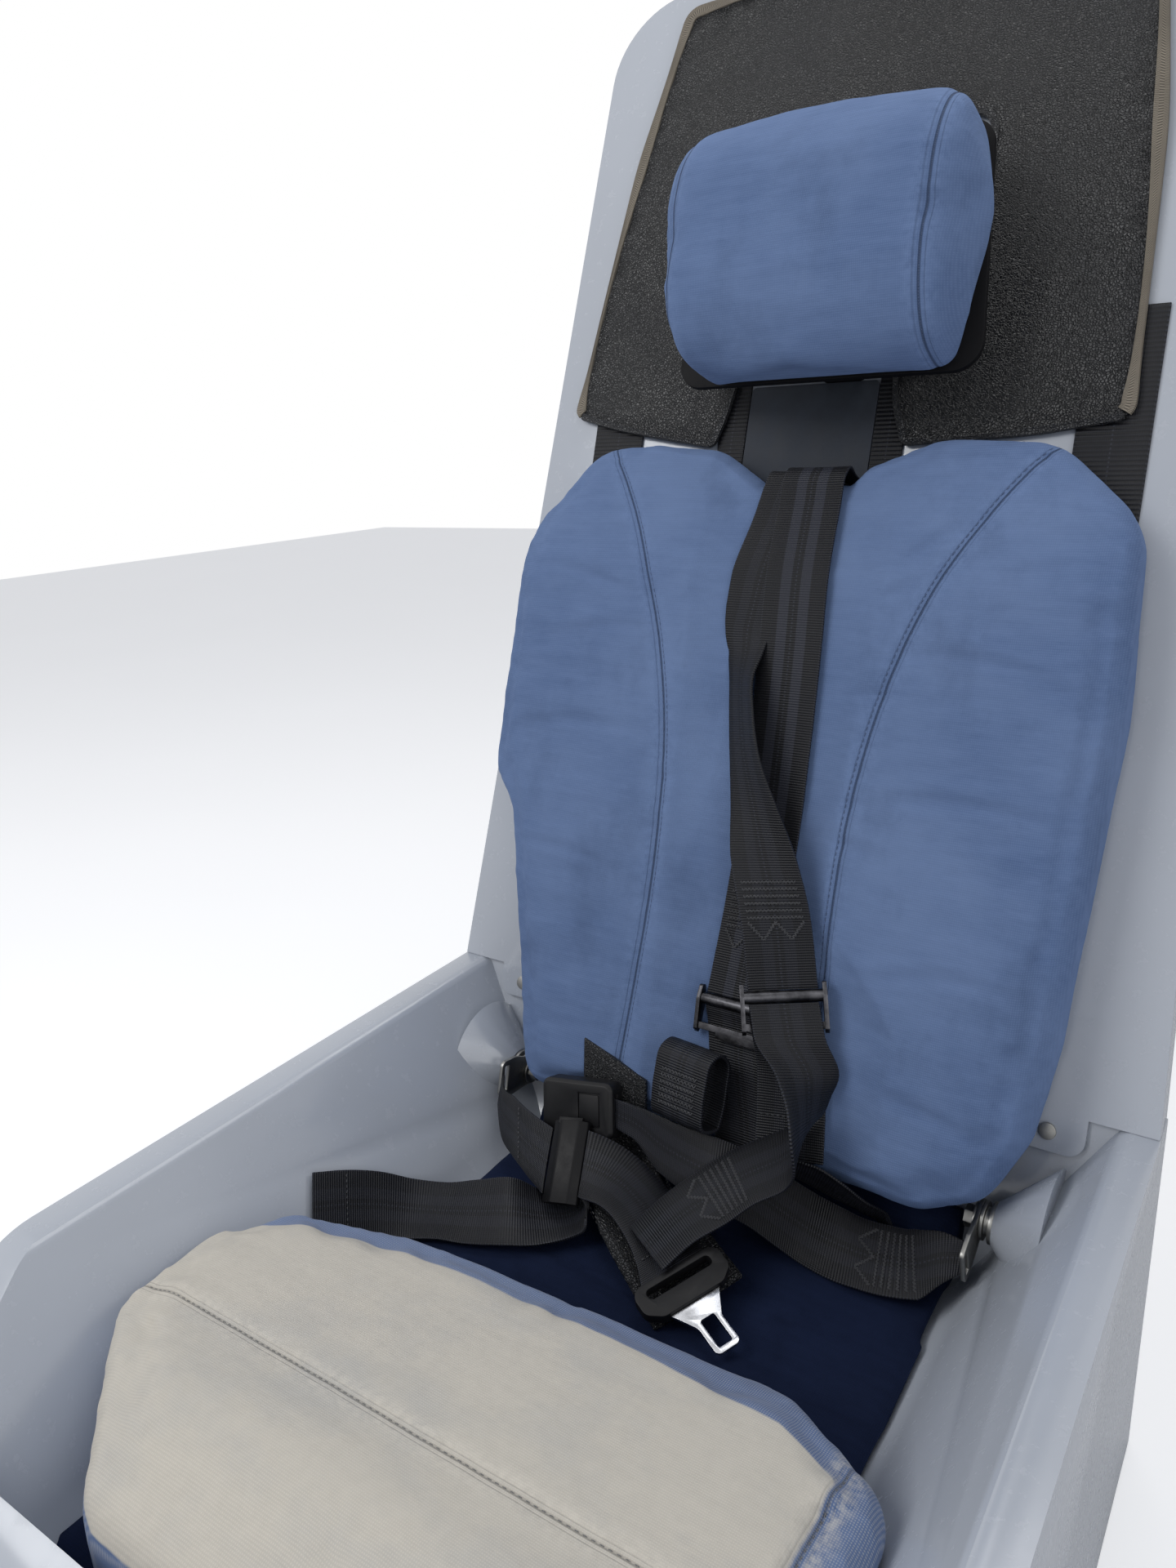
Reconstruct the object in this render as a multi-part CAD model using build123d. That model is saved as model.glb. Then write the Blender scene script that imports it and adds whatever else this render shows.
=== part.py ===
from build123d import *
import math
import os

# Pilot's seat of a light sport aircraft, in millimetres, standing on the cabin floor.
# +Z is up, the pilot faces -Y and +X is the door side. The origin is on the floor, mid seat.

# Overall sizes
SEAT_WIDTH = 600.0        # over the rims of the moulded pan
FRONT_REACH = 525.0       # from the line of the lap belt bolts forward to the pan's front wall
REAR_SKIRT = 78.0         # from the same line back to the pan's rear wall
PAD_TOP = 170.0           # height of the base pad above the floor
RECLINE = 18.8            # lean of the backrest from upright, degrees
PANEL_TOP = 1005.0        # rear panel's length up its slope, from the pad's plane

# Moulded pan
SKIN = 4.0
FLOOR_HALF = 182.0        # half width of the flat floor, before its bend
RIM_HALF = 276.0          # half width at the rim's inner lip
RIM_UP = 118.0            # rim above the base pad
PAD_THICK = 20.0
WALL_BEND = 60.0
REAR_BEND = 50.0
LIP_BEND = 12.0
BOSS_FACE = 209.0         # where the lap belt bosses stop, from the seat's middle
BOSS_RADIUS = 16.0
BOSS_RUN = 36.0           # how far behind its face the boss has flared into the wall
BOSS_FLARE = 50.0         # its radius there
NOSE_DROP = 66.0          # how far the rim falls at the front
NOSE_RUN = 110.0
FOOT_WIDTH = 34.0
FOOT_HOLE = 3.25
FOOT_INSET = 17.0
FOOT_SPACING = 420.0

# Rear panel
PANEL_SKIN = 5.0
PANEL_RIM = 30.0          # depth of its turned edge
PANEL_HALF_HIGH = 262.0
PANEL_CORNER = 70.0
PANEL_BACK = 2.5          # panel's face behind the back of the cushion
LAP_LOW = 98.0            # lower edge of the panel's tongue, up the slope
LAP_HALF = 255.0
SLOT_SIDES = (-30.5, 30.5)   # the slot that the shoulder straps pass through
SLOT_LEVELS = (562.0, 570.5)
STIFFENER_SIDE = 130.0

# Cushions
BACK_THICK = 60.0
LOBE_THICK = 40.0         # at the top of the back cushion's two lobes
COVER_THICK = 2.5
BACK_LOW = 46.0
THIGH_REAR = 224.0        # rear edge forward of the bolt line
THIGH_FRONT = 492.0
THIGH_LOW = 72.0          # its height at the rear edge
THIGH_HIGH = 92.0
FIT = 0.3                 # seat of one piece on the next

# Headrest
HEADREST_WIDTH = 244.0
BOARD_TAPER = 16.0        # how much narrower each side of its board is at the top
HEADREST_LOW = 620.0
HEADREST_HIGH = 820.0
HEADREST_BACK = 50.0
HEADREST_FRONT = 134.0
HEADREST_TRAVEL = 45.0
RAIL_LOW = 650.0
RAIL_HALF = 19.0
BOARD_SIDES = (-79.0, 30.5)    # dark board that fills the notch below the headrest
RAIL_THICK = 16.0

# Harness
WEB = 50.0                # webbing width
WEB_THICK = 2.4
BOLT_UP = 45.0
BOLT_RADIUS = 5.0
HEX_RADIUS = 8.2
BRACKET_THICK = 3.0
ROLLER_UP = 8.0           # webbing bar above the middle of an adjuster
ROLLER_RADIUS = 4.5
PAD_WIDTH = 74.0          # leather pad under the tongue
PAD_LEATHER = 6.0
TONGUE_REACH = 54.0       # blade's tip from the middle of its frame
HANGER_SIDE = 205.0
NARROW_SIDES = (-92.0, 43.5)   # the narrow hangers beside the notch
NARROW_WEB = 25.0
BAR_RADIUS = 4.4          # bar behind the panel that the shoulder straps are looped round
BAR_DROP = 3.8            # its middle below the slot's lower edge
BAR_BACK = -20.0
INNER_TURN = 6.4          # the left strap's middle from the bar's, with the right strap over it
OUTER_TURN = 9.4

# Derived places
TILT = math.radians(RECLINE)
REAR_REACH = PANEL_TOP * math.sin(TILT) + (PANEL_RIM + PANEL_BACK) * math.cos(TILT)
BOLT_Y = (FRONT_REACH - REAR_REACH) / 2
PAN_FLOOR = PAD_TOP - PAD_THICK
RIM = PAD_TOP + RIM_UP
FRONT_Y = BOLT_Y - FRONT_REACH
REAR_Y = BOLT_Y + REAR_SKIRT
WALL_FACE = -PANEL_BACK - PANEL_SKIN - FIT     # pan's rear wall in the backrest's frame
BAR_UP = SLOT_LEVELS[0] - BAR_DROP
BACK = Plane(origin=(0, BOLT_Y, PAD_TOP), x_dir=(1, 0, 0),
             z_dir=(0, -math.cos(TILT), math.sin(TILT)))
SEAT = Plane(origin=(0, BOLT_Y, PAD_TOP), x_dir=(1, 0, 0), z_dir=(0, 0, 1))
SIDE = Plane(origin=(0, 0, 0), x_dir=(0, 1, 0), z_dir=(1, 0, 0))
ACROSS = Plane(origin=(0, 0, 0), x_dir=(1, 0, 0), z_dir=(0, -1, 0))


def save(shape, node):
    shape.label = node
    export_step(shape, f"parts/{node}.step")


def outline(points, radii=0):
    """A flat face inside straight lines whose corners are rounded."""
    with BuildSketch() as sketch:
        with BuildLine():
            FilletPolyline(*points, radius=radii, close=True)
        make_face()
    return sketch.sketch


def plate(points, radii, low, high):
    """A plate between two levels of the backrest's own frame."""
    face = Plane.XY.offset(low) * outline(points, radii)
    return BACK.location * extrude(face, high - low)


def side_block(points, radii, half):
    """A side outline of length and height, made as wide as the seat needs."""
    return extrude(SIDE * outline(points, radii), half, both=True)


def slope_y(height, face):
    """How far back a plane parallel to the backrest is at a given height above the pad."""
    return BOLT_Y + (height * math.sin(TILT) - face) / math.cos(TILT)


# Moulded pan

def pan_well(grow):
    """The room inside the pan, grown all round when the skin's outer face is wanted."""
    lean = math.atan2(RIM_HALF - FLOOR_HALF, RIM - PAN_FLOOR)
    shift = grow / math.cos(lean)
    low = PAN_FLOOR - grow
    foot = FLOOR_HALF + shift - grow * math.tan(lean)
    lip = RIM_HALF + shift
    top = RIM + (0 if grow == 0 else -grow)
    lip_in = lip if grow == 0 else lip - grow * math.tan(lean)
    points = [(-foot, low), (foot, low), (lip_in, top), (SEAT_WIDTH, top), (SEAT_WIDTH, RIM + 60),
              (-SEAT_WIDTH, RIM + 60), (-SEAT_WIDTH, top), (-lip_in, top)]
    bend = WALL_BEND + grow
    lip_bend = LIP_BEND - grow
    radii = [bend, bend, lip_bend, 0, 0, 0, 0, lip_bend]
    cross = extrude(ACROSS * outline(points, radii), 1000, both=True)
    rear_low = slope_y(low - PAD_TOP, WALL_FACE - grow)
    rear_high = slope_y(RIM + 60 - PAD_TOP, WALL_FACE - grow)
    front = FRONT_Y + 22 - grow
    side = [(front, low), (rear_low, low), (rear_high, RIM + 60), (front, RIM + 60)]
    return cross & side_block(side, [30, REAR_BEND + grow, 0, 0], SEAT_WIDTH)


def pan_block(inset):
    """The pan's outer block, drawn in by the skin for its hollow underside."""
    front = FRONT_Y + inset
    rear = REAR_Y - inset
    top = RIM - inset
    low = -10 if inset else 0
    points = [(front, low), (rear, low), (rear, top), (front + NOSE_RUN, top), (front, top - NOSE_DROP)]
    return side_block(points, [0, 0, 6, 60, 10], SEAT_WIDTH / 2 - inset)


def seat_pan():
    shell = pan_block(0) - (pan_block(SKIN) - pan_well(SKIN)) - pan_well(0)
    foot_mid = BOLT_Y - 190
    for side in (-1, 1):
        middle = side * (SEAT_WIDTH / 2 - FOOT_WIDTH / 2 - 1)
        foot = Pos(middle, foot_mid, SKIN / 2) * Box(FOOT_WIDTH, FOOT_SPACING + 80, SKIN)
        shell = shell + foot
        for end in (-0.5, 0.5):
            hole_x = side * (SEAT_WIDTH / 2 - FOOT_INSET - SKIN)
            hole = Cylinder(FOOT_HOLE, 4 * SKIN)
            shell = shell - Pos(hole_x, foot_mid + end * FOOT_SPACING, SKIN / 2) * hole
        shell = shell + wall_boss(side)
    return shell


def wall_boss(side):
    """The lap belt's boss, flared into the slanting wall and closed by the wall's outer face."""
    cone = Cone(BOSS_RADIUS, BOSS_FLARE, BOSS_RUN, align=(Align.CENTER, Align.CENTER, Align.MIN))
    cone = Pos(side * BOSS_FACE, BOLT_Y, PAD_TOP + BOLT_UP) * (Rotation(0, side * 90, 0) * cone)
    return cone & pan_well(SKIN)


# Rear panel

def panel_outline(inset):
    low = 120.0 + inset
    high = PANEL_TOP - inset
    wide = SEAT_WIDTH / 2 - inset
    narrow = PANEL_HALF_HIGH - inset
    return [(-wide, low), (wide, low), (narrow, high), (-narrow, high)]


def rear_panel():
    corner = PANEL_CORNER
    face = -PANEL_BACK
    tray = plate(panel_outline(0), [8, 8, corner, corner], face - PANEL_RIM, face)
    inner = corner - PANEL_SKIN
    hollow = plate(panel_outline(PANEL_SKIN), [4, 4, inner, inner], face - PANEL_RIM - 5, face - PANEL_SKIN)
    tongue = [(-LAP_HALF, LAP_LOW), (LAP_HALF, LAP_LOW), (LAP_HALF, 140), (-LAP_HALF, 140)]
    below = Pos(0, 0, (RIM + FIT) / 2) * Box(2 * SEAT_WIDTH, 2 * SEAT_WIDTH, RIM + FIT)
    panel = tray - hollow - below + plate(tongue, [12, 12, 0, 0], face - PANEL_SKIN, face)
    panel = panel - strap_slot()
    for side in (-1, 1):
        middle = side * STIFFENER_SIDE
        rib = [(middle - 24, 200), (middle + 24, 200), (middle + 24, 940), (middle - 24, 940)]
        back = face - PANEL_SKIN
        panel = panel + plate(rib, 10, back - 14, back)
    return panel


def strap_slot():
    (left, right), (low, high) = SLOT_SIDES, SLOT_LEVELS
    corners = [(left, low), (right, low), (right, high), (left, high)]
    return plate(corners, 3, -PANEL_BACK - 2 * PANEL_SKIN, 1)


# Soft parts

def base_pad():
    """A pad on the pan's floor that turns up behind and ends under the back cushion."""
    front = BOLT_Y - 486
    outer = WALL_FACE + FIT
    inner = outer + PAD_THICK
    rise = BACK_LOW - FIT
    end_out = BOLT_Y + rise * math.sin(TILT) - outer * math.cos(TILT)
    end_in = BOLT_Y + rise * math.sin(TILT) - inner * math.cos(TILT)
    level = PAD_TOP + rise * math.cos(TILT)
    side = [(front, PAN_FLOOR + FIT), (slope_y(-PAD_THICK, outer), PAN_FLOOR + FIT),
            (end_out, level + outer * math.sin(TILT)), (end_in, level + inner * math.sin(TILT)),
            (slope_y(0, inner), PAD_TOP), (front, PAD_TOP)]
    bend = REAR_BEND - PAD_THICK
    pad = side_block(side, [0, REAR_BEND, 0, 0, bend, 6], 300)
    points = [(-186, end_out + 5), (186, end_out + 5), (198, BOLT_Y - 190), (196, front), (-196, front),
              (-190, BOLT_Y - 190)]
    plan = Plane.XY.offset(PAN_FLOOR) * outline(points, [14, 14, 0, 20, 20, 0])
    return pad & extrude(plan, 120) & pan_well(-FIT)


def thigh_cushion():
    set_back = THIGH_REAR + 42
    points = [(-206, -set_back), (-112, -THIGH_REAR - 12), (158, -THIGH_REAR), (232, -set_back), (234, -420),
              (206, -THIGH_FRONT), (-122, -THIGH_FRONT), (-226, -392), (-236, -320)]
    plan = extrude(SEAT * outline(points, [30, 120, 60, 40, 40, 34, 34, 50, 40]), 140)
    side = [(BOLT_Y - THIGH_REAR, PAD_TOP + FIT), (BOLT_Y - THIGH_REAR + 2, PAD_TOP + THIGH_LOW),
            (BOLT_Y - 350, PAD_TOP + THIGH_HIGH - 8), (BOLT_Y - 420, PAD_TOP + THIGH_HIGH),
            (BOLT_Y - THIGH_FRONT, PAD_TOP + THIGH_HIGH - 14), (BOLT_Y - THIGH_FRONT, PAD_TOP + FIT)]
    return plan & side_block(side, [0, 22, 60, 60, 34, 8], 300) & pan_well(-FIT)


# Columns of the outline tables: across, up the slope, corner radius
BACK_EDGE = [
    (-176, BACK_LOW, 20), (166, BACK_LOW, 20), (206, 66, 18), (226, 108, 30), (236, 175, 60), (248, 400, 80),
    (241, 530, 60),
    (180, 588, 44), (98, 594, 40), (42, 574, 12), (37, 560, 5), (-37, 560, 6), (-84, 591, 26),
    (-150, 597, 60), (-207, 592, 44),
    (-256, 520, 70), (-258, 310, 14), (-234, 276, 14), (-190, 90, 30),
]
COVER_EDGE = [
    (-252, 632, 10), (-106, 600, 8), (-92, 655, 4), (-134, 668, 10), (-134, 846, 20), (92, 846, 20),
    (88, 660, 10), (42, 655, 4), (56, 597, 8), (218, 610, 14), (190, 985, 18), (-190, 985, 18),
]


def edge_plate(edge, low, high):
    points = [(across, up) for across, up, radius in edge]
    return plate(points, [radius for across, up, radius in edge], low, high)


def back_cushion():
    """One pad with two lobes at its top. The harness comes through the notch between them."""
    cushion = edge_plate(BACK_EDGE, 0, BACK_THICK)
    side = [(0, 0), (0, 620), (LOBE_THICK, 620), (LOBE_THICK, 570), (BACK_THICK, 480), (BACK_THICK, 0)]
    keep = extrude(Plane.YZ * outline([(v, n) for n, v in side], 0), 300, both=True)
    return cushion & (BACK.location * keep)


def leather_cover():
    """Soft cover over the top of the panel, cut out round the headrest's rail."""
    return edge_plate(COVER_EDGE, FIT, FIT + COVER_THICK)


def ribbon(section, radii, half, middle=0):
    """An outline of (up the slope, forward) drawn out across the backrest's own frame."""
    body = extrude(Plane.YZ * outline(section, radii), half, both=True)
    return BACK.location * (Pos(middle, 0, 0) * body)


def headrest_pad():
    """Round in front and flat behind, with rounded ends and drawn in below."""
    low = HEADREST_LOW
    high = HEADREST_HIGH
    section = [(low, HEADREST_BACK), (high, HEADREST_BACK), (high - 10, HEADREST_FRONT),
               (low + 16, HEADREST_FRONT)]
    half = HEADREST_WIDTH / 2
    edge = [(-half + 30, low, 30), (half - 10, low, 26), (half, 745, 60), (half - 16, high, 30),
            (-half + 16, high, 30), (-half, 755, 50)]
    return ribbon(section, [12, 12, 58, 58], half) & edge_plate(edge, HEADREST_BACK - 5, HEADREST_FRONT + 5)


# Headrest carrier

def headrest_rail():
    """A plate on the panel with two raised guides for the slider."""
    low = RAIL_LOW
    high = HEADREST_HIGH + 22
    face = -PANEL_BACK + FIT
    base = [(-RAIL_HALF, low), (RAIL_HALF, low), (RAIL_HALF, high), (-RAIL_HALF, high)]
    rail = plate(base, 6, face, RAIL_THICK)
    groove = [(-8, low - 5), (8, low - 5), (8, high + 5), (-8, high + 5)]
    return rail - plate(groove, 0, RAIL_THICK - 9, RAIL_THICK + 1)


def notch_board():
    """A thin board on the panel between the two narrow hangers, from the slot up to the rail."""
    low = SLOT_LEVELS[1]
    high = RAIL_LOW - FIT
    left, right = BOARD_SIDES
    corners = [(left, low), (right, low), (right, high), (left, high)]
    return plate(corners, 4, FIT - PANEL_BACK, -FIT)


def headrest_carrier():
    """The board behind the headrest and the tongue that slides in the rail."""
    low = HEADREST_LOW + 14
    high = HEADREST_HIGH - 6
    half = HEADREST_WIDTH / 2 + 1
    slim = half - BOARD_TAPER
    back = HEADREST_BACK - FIT
    board = plate([(-half, low), (half, low), (slim, high), (-slim, high)], 20, back - 6, back)
    stem = plate([(-22, 700), (22, 700), (22, 770), (-22, 770)], 4, RAIL_THICK + 0.5, back - 6)
    tongue = plate([(-7.5, 700), (7.5, 700), (7.5, 770), (-7.5, 770)], 0, RAIL_THICK - 7, RAIL_THICK + 1)
    return board + stem + tongue


# Harness

def webbing(route, thick=WEB_THICK):
    """A flat strap through stations, closed by flat faces: place, direction across, width."""
    rings = []
    last = len(route) - 1
    for index, (x, y, z, across_x, across_y, across_z, wide) in enumerate(route):
        before = Vector(*route[max(index - 1, 0)][:3])
        after = Vector(*route[min(index + 1, last)][:3])
        across = Vector(across_x, across_y, across_z).normalized()
        along = after - before
        up = along.cross(across).normalized() * (thick / 2)
        side = across * (wide / 2)
        middle = Vector(x, y, z)
        rings.append([middle - side - up, middle + side - up, middle + side + up, middle - side + up])
    faces = [flat_face(rings[0]), flat_face(rings[last])]
    for near, far in zip(rings, rings[1:]):
        for corner in range(4):
            following = (corner + 1) % 4
            faces.append(flat_face([near[corner], near[following], far[following]]))
            faces.append(flat_face([near[corner], far[following], far[corner]]))
    return Solid(Shell(faces))


def flat_face(corners):
    return Face(Wire.make_polygon(corners, close=True))


def loop_round_bar(across, radius):
    """Stations of a strap's end as it passes behind the bar and comes forward over it."""
    turns = [math.radians(180 - 45 * step) for step in range(5)]
    return [(across, BAR_UP + radius * math.cos(turn), BAR_BACK - radius * math.sin(turn), 1, 0, 0, WEB)
            for turn in turns]


# Columns of the strap tables: place of the strap's middle, direction across it, width.
# In the backrest's own frame: across, up the slope, forward
SHOULDER_RIGHT = [
    *loop_round_bar(4, OUTER_TURN),
    (4.5, BAR_UP + OUTER_TURN, 1, 1, 0, 0, WEB),
    (6.5, BAR_UP + OUTER_TURN, 22, 1, 0, 0, WEB),
    (9, 567.8, 43.5, 1, 0, 0, WEB),
    (9, 560, 49.2, 1, 0, 0, WEB),
    (10, 540, 53.4, 1, 0, 0, WEB),
    (13, 485, 64.5, 1, 0, 0, WEB),
    (16, 424, 65.2, 1, 0, 0, WEB),
    (18, 363, 65.2, 1, 0, 0, WEB),
    (19, 301, 65.2, 1, 0, 0, WEB),
    (18, 240, 65.2, 1, 0, 0, WEB),
    (14, 161.9, 66.5, 1, 0, 0, WEB),
]
SHOULDER_LEFT = [
    *loop_round_bar(-4, INNER_TURN),
    (-4.5, BAR_UP + INNER_TURN, 1, 1, 0, 0, WEB),
    (-5, BAR_UP + INNER_TURN, 22, 1, 0, 0, WEB),
    (-6, 565, 43, 1, 0, 0, WEB),
    (-7, 556, 46.4, 1, 0, 0, WEB),
    (-10, 530, 51.4, 1, 0, 0, WEB),
    (-17, 485, 61.6, 1, 0, 0, WEB),
    (-20, 458, 61.9, 1, 0, 0, 44),
    (-25, 440, 62.1, 1, 0, 0, 28),
    (-26, 426, 65.2, 0.95, 0, 0.31, 24),
    (-22, 404, 73, 0.8, 0, 0.6, 26),
    (-12, 376, 81, 0.8, 0, 0.6, 30),
    (0, 340, 85, 0.84, 0.05, 0.54, 34),
    (13, 308, 85.5, 0.93, 0.08, 0.32, 44),
    (26, 274, 85, 0.98, 0.16, -0.05, WEB),
    (42, 233, 85, 0.91, 0.18, -0.36, WEB),
    (54.8, 180.4, 81.1, 0.885, 0.201, -0.423, WEB),
]
LOWER_LEFT = [
    (14, 152.2, 66.5, 1, 0, 0, WEB),
    (15, 144, 62.9, 1, 0, 0, WEB),
    (22, 110, 62.0, 1, 0, 0, WEB),
    (31, 76, 62.0, 1, 0, 0, WEB),
    (36, 52, 63.0, 1, 0, 0, WEB),
]
STRAP_TAIL = [
    (56.6, 170.9, 80.3, 0.885, 0.201, -0.423, WEB),
    (58.4, 159.6, 78.8, 0.885, 0.201, -0.423, WEB),
    (61.7, 146, 76.5, 0.91, 0.18, -0.36, WEB),
    (65, 128, 71.5, 0.95, 0.1, -0.25, WEB),
    (69, 96, 69.8, 0.96, 0.1, -0.2, WEB),
    (73, 58, 69.8, 0.96, 0.12, -0.2, WEB),
]
HANGER = [
    (1, 500, -1.2, 1, 0, 0, WEB),
    (1, 690, -1.2, 1, 0, 0, WEB),
]
NARROW_HANGER = [
    (1, 500, -1.2, 1, 0, 0, NARROW_WEB),
    (1, 703.7, -1.2, 1, 0, 0, NARROW_WEB),
]
# From the bolt line and the base pad: right, back, up
LOWER_RIGHT = [
    (57.75, -23.5, 189.1, 0.885, 0.465, 0.054, WEB),
    (62.5, -29.1, 179, 0.885, 0.465, 0.054, WEB),
    (67.5, -34.6, 168.5, 0.88, 0.47, 0.03, WEB),
    (84.8, -42.6, 147.8, 0.62, 0.76, -0.2, WEB),
    (89.5, -52.0, 136.7, 0.3, 0.91, -0.28, WEB),
    (93, -64, 119.4, 0.02, 0.99, -0.1, WEB),
    (89, -66, 105, -0.25, 0.95, 0.18, WEB),
    (78, -65, 92, -0.45, 0.85, 0.27, WEB),
    (49, -77.5, 72.5, -0.71, 0.67, 0.2, WEB),
    (31, -90.5, 57, -0.81, 0.56, 0.16, WEB),
    (13.0, -108, 43.0, -0.84, 0.54, 0.06, WEB),
    (2.6, -133.5, 32.5, -0.85, 0.52, 0, WEB),
]
LAP_RIGHT = [
    (195.7, -31, 33, 0, -0.5, -0.87, 22),
    (183, -34, 30, 0.2, -0.7, -0.68, 34),
    (167, -41.8, 23.5, 0.34, -0.83, -0.45, WEB),
    (147, -45.5, 20.5, 0.17, -0.85, -0.5, WEB),
    (125, -47.5, 20.0, 0.18, -0.82, -0.54, WEB),
    (106, -48, 22, 0.05, -0.68, -0.73, WEB),
    (87, -48, 26, 0.04, -0.65, -0.76, WEB),
    (69, -53, 37, 0.1, -0.62, -0.78, WEB),
    (46, -61, 53, 0.12, -0.59, -0.8, WEB),
    (24, -69, 62, 0.12, -0.55, -0.83, WEB),
    (2, -69, 65, 0.1, -0.45, -0.89, 46),
    (-24, -66, 69, 0.05, -0.4, -0.91, 40),
    (-47, -61.5, 75.5, 0.12, -0.36, -0.92, 26),
    (-68.5, -60.8, 78, 0.174, -0.317, -0.932, 22),
]
LAP_LEFT = [
    (-195.7, -45, 50, 0, -0.4, -0.92, 26),
    (-184, -59, 40, 0.3, -0.5, -0.81, 42),
    (-159.3, -74.5, 42, 0.4, -0.6, -0.69, WEB),
    (-130, -90, 43.5, 0.33, -0.6, -0.72, WEB),
    (-105.9, -100.6, 45.4, 0.23, -0.68, -0.69, WEB),
]
LAP_INNER = [
    (-74.7, -96.7, 51.7, 0.23, -0.68, -0.69, WEB),
    (-61, -93.8, 48.3, 0.0, -0.87, -0.5, WEB),
    (-46, -92, 43, -0.22, -0.94, -0.26, WEB),
    (-28, -95, 36.0, -0.4, -0.9, -0.06, WEB),
    (-10, -103, 30.5, -0.44, -0.89, -0.08, WEB),
    (9, -117.4, 27, -0.47, -0.87, -0.15, WEB),
    (25.4, -136.4, 26.9, -0.472, -0.863, -0.181, WEB),
]
LAP_TAIL = [
    (-75.1, -93.3, 48.2, 0.23, -0.68, -0.69, WEB),
    (-70, -93, 42, 0.27, -0.75, -0.6, WEB),
    (-67, -101, 34, 0.4, -0.83, -0.35, WEB),
    (-68, -108, 24.5, 0.55, -0.8, -0.15, WEB),
    (-77, -115, 16, 0.66, -0.75, 0.0, WEB),
    (-92, -127, 17, 0.66, -0.72, -0.22, WEB),
    (-111, -144.5, 26, 0.42, -0.68, -0.6, WEB),
    (-139, -154, 21, 0.34, -0.8, -0.5, WEB),
    (-166, -160, 15, 0.45, -0.82, -0.3, WEB),
    (-189, -172, 16, 0.55, -0.72, -0.4, WEB),
    (-203, -190, 26, 0.5, -0.6, -0.62, WEB),
    (-212.5, -212, 37.5, 0.473, -0.541, -0.694, WEB),
    (-221.5, -238, 48.5, 0.473, -0.541, -0.694, WEB),
]
STRAP_ARCH = [
    (75, -51, 75, -0.29, 0.5, -0.82, 30),
    (93, -48.2, 71.2, -0.36, 0.46, -0.81, 36),
    (108, -43.8, 63, -0.41, 0.49, -0.77, 36),
    (125, -31, 46, -0.36, 0.59, -0.73, 34),
    (136, -20, 33, -0.3, 0.5, -0.8, 26),
    (143, -19, 22, 0, 0.3, -0.95, 16),
]
TONGUE_PAD = [
    (48, -139, 11, 0.47, 0.87, 0.165, PAD_WIDTH),
    (12, -114.4, 12.5, 0.5, 0.86, 0.07, PAD_WIDTH),
    (-9, -102, 17, 0.45, 0.89, 0.05, PAD_WIDTH),
    (-28, -92, 22, 0.46, 0.88, 0.03, 70),
    (-43, -83, 26, 0.6, 0.78, 0.08, 58),
    (-63, -59, 37, 0.9, 0.4, 0.1, 50),
    (-72, -51, 57, 0.98, 0.03, -0.05, 58),
    (-78, -44.5, 78, 0.97, -0.06, -0.18, 62),
    (-83, -34.2, 108, 0.95, -0.09, -0.29, 64),
]


def on_back(shape):
    return BACK.location * shape


def on_seat(shape):
    return SEAT.location * shape


def anchor_bolt(side):
    """Hexagon head, its washer, the bracket's seat, a large washer and the cup on the pan's boss."""
    bolt = extrude(Plane.YZ * RegularPolygon(HEX_RADIUS, 6), 6.5)
    at = 6.5
    for radius, thick in ((11.5, 2), (BOLT_RADIUS, BRACKET_THICK + 2 * FIT), (14, 2.5), (10, 3.5), (15, 3.1)):
        bolt = bolt + Pos(at, 0, 0) * extrude(Plane.YZ * Circle(radius), thick)
        at = at + thick
    if side < 0:
        bolt = mirror(bolt, Plane.YZ)
    return on_seat(Pos(side * (BOSS_FACE - at), 0, BOLT_UP) * bolt)


def anchor_bracket(side, turn):
    """A steel eye plate on the bolt. The lap belt is sewn through the slot in its end."""
    points = [(14, 12), (-6, 13), (-26, 17), (-44, 15), (-44, -15), (-26, -17), (-6, -13), (14, -12)]
    body = extrude(Plane.YZ * outline(points, [11, 8, 10, 5, 5, 10, 8, 11]), BRACKET_THICK)
    body = body - extrude(Plane.YZ * Circle(BOLT_RADIUS + FIT), BRACKET_THICK)
    body = body - Pos(BRACKET_THICK / 2, -37, 0) * Box(2 * BRACKET_THICK, 6, 22)
    face = BOSS_FACE - 3.1 - 3.5 - 2.5 - FIT - BRACKET_THICK
    inner = side * face - (BRACKET_THICK if side < 0 else 0)
    return on_seat(Pos(inner, 0, BOLT_UP) * (Rotation(turn, 0, 0) * body))


def adjuster():
    """A webbing slide: bowed side plates, a round bar for the webbing and a flat lower bar."""
    half = WEB / 2 + 3
    points = [(18, 3), (18, -2), (6, -5), (-16, -3), (-19, 0), (-16, 4), (8, 6)]
    cheek = extrude(Plane.YZ * outline(points, [2, 2, 6, 3, 1, 2, 6]), 3)
    body = Pos(half, 0, 0) * cheek + Pos(-half - 3, 0, 0) * cheek
    bar = Pos(0, ROLLER_UP, 0) * (Rotation(0, 90, 0) * Cylinder(ROLLER_RADIUS, 2 * half + 2))
    lower = Pos(0, -13, 0.6) * Box(2 * half + 2, 5, 2.4) + Pos(4, -17, 0.6) * Box(34, 6, 2.4)
    return body + bar + lower


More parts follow.
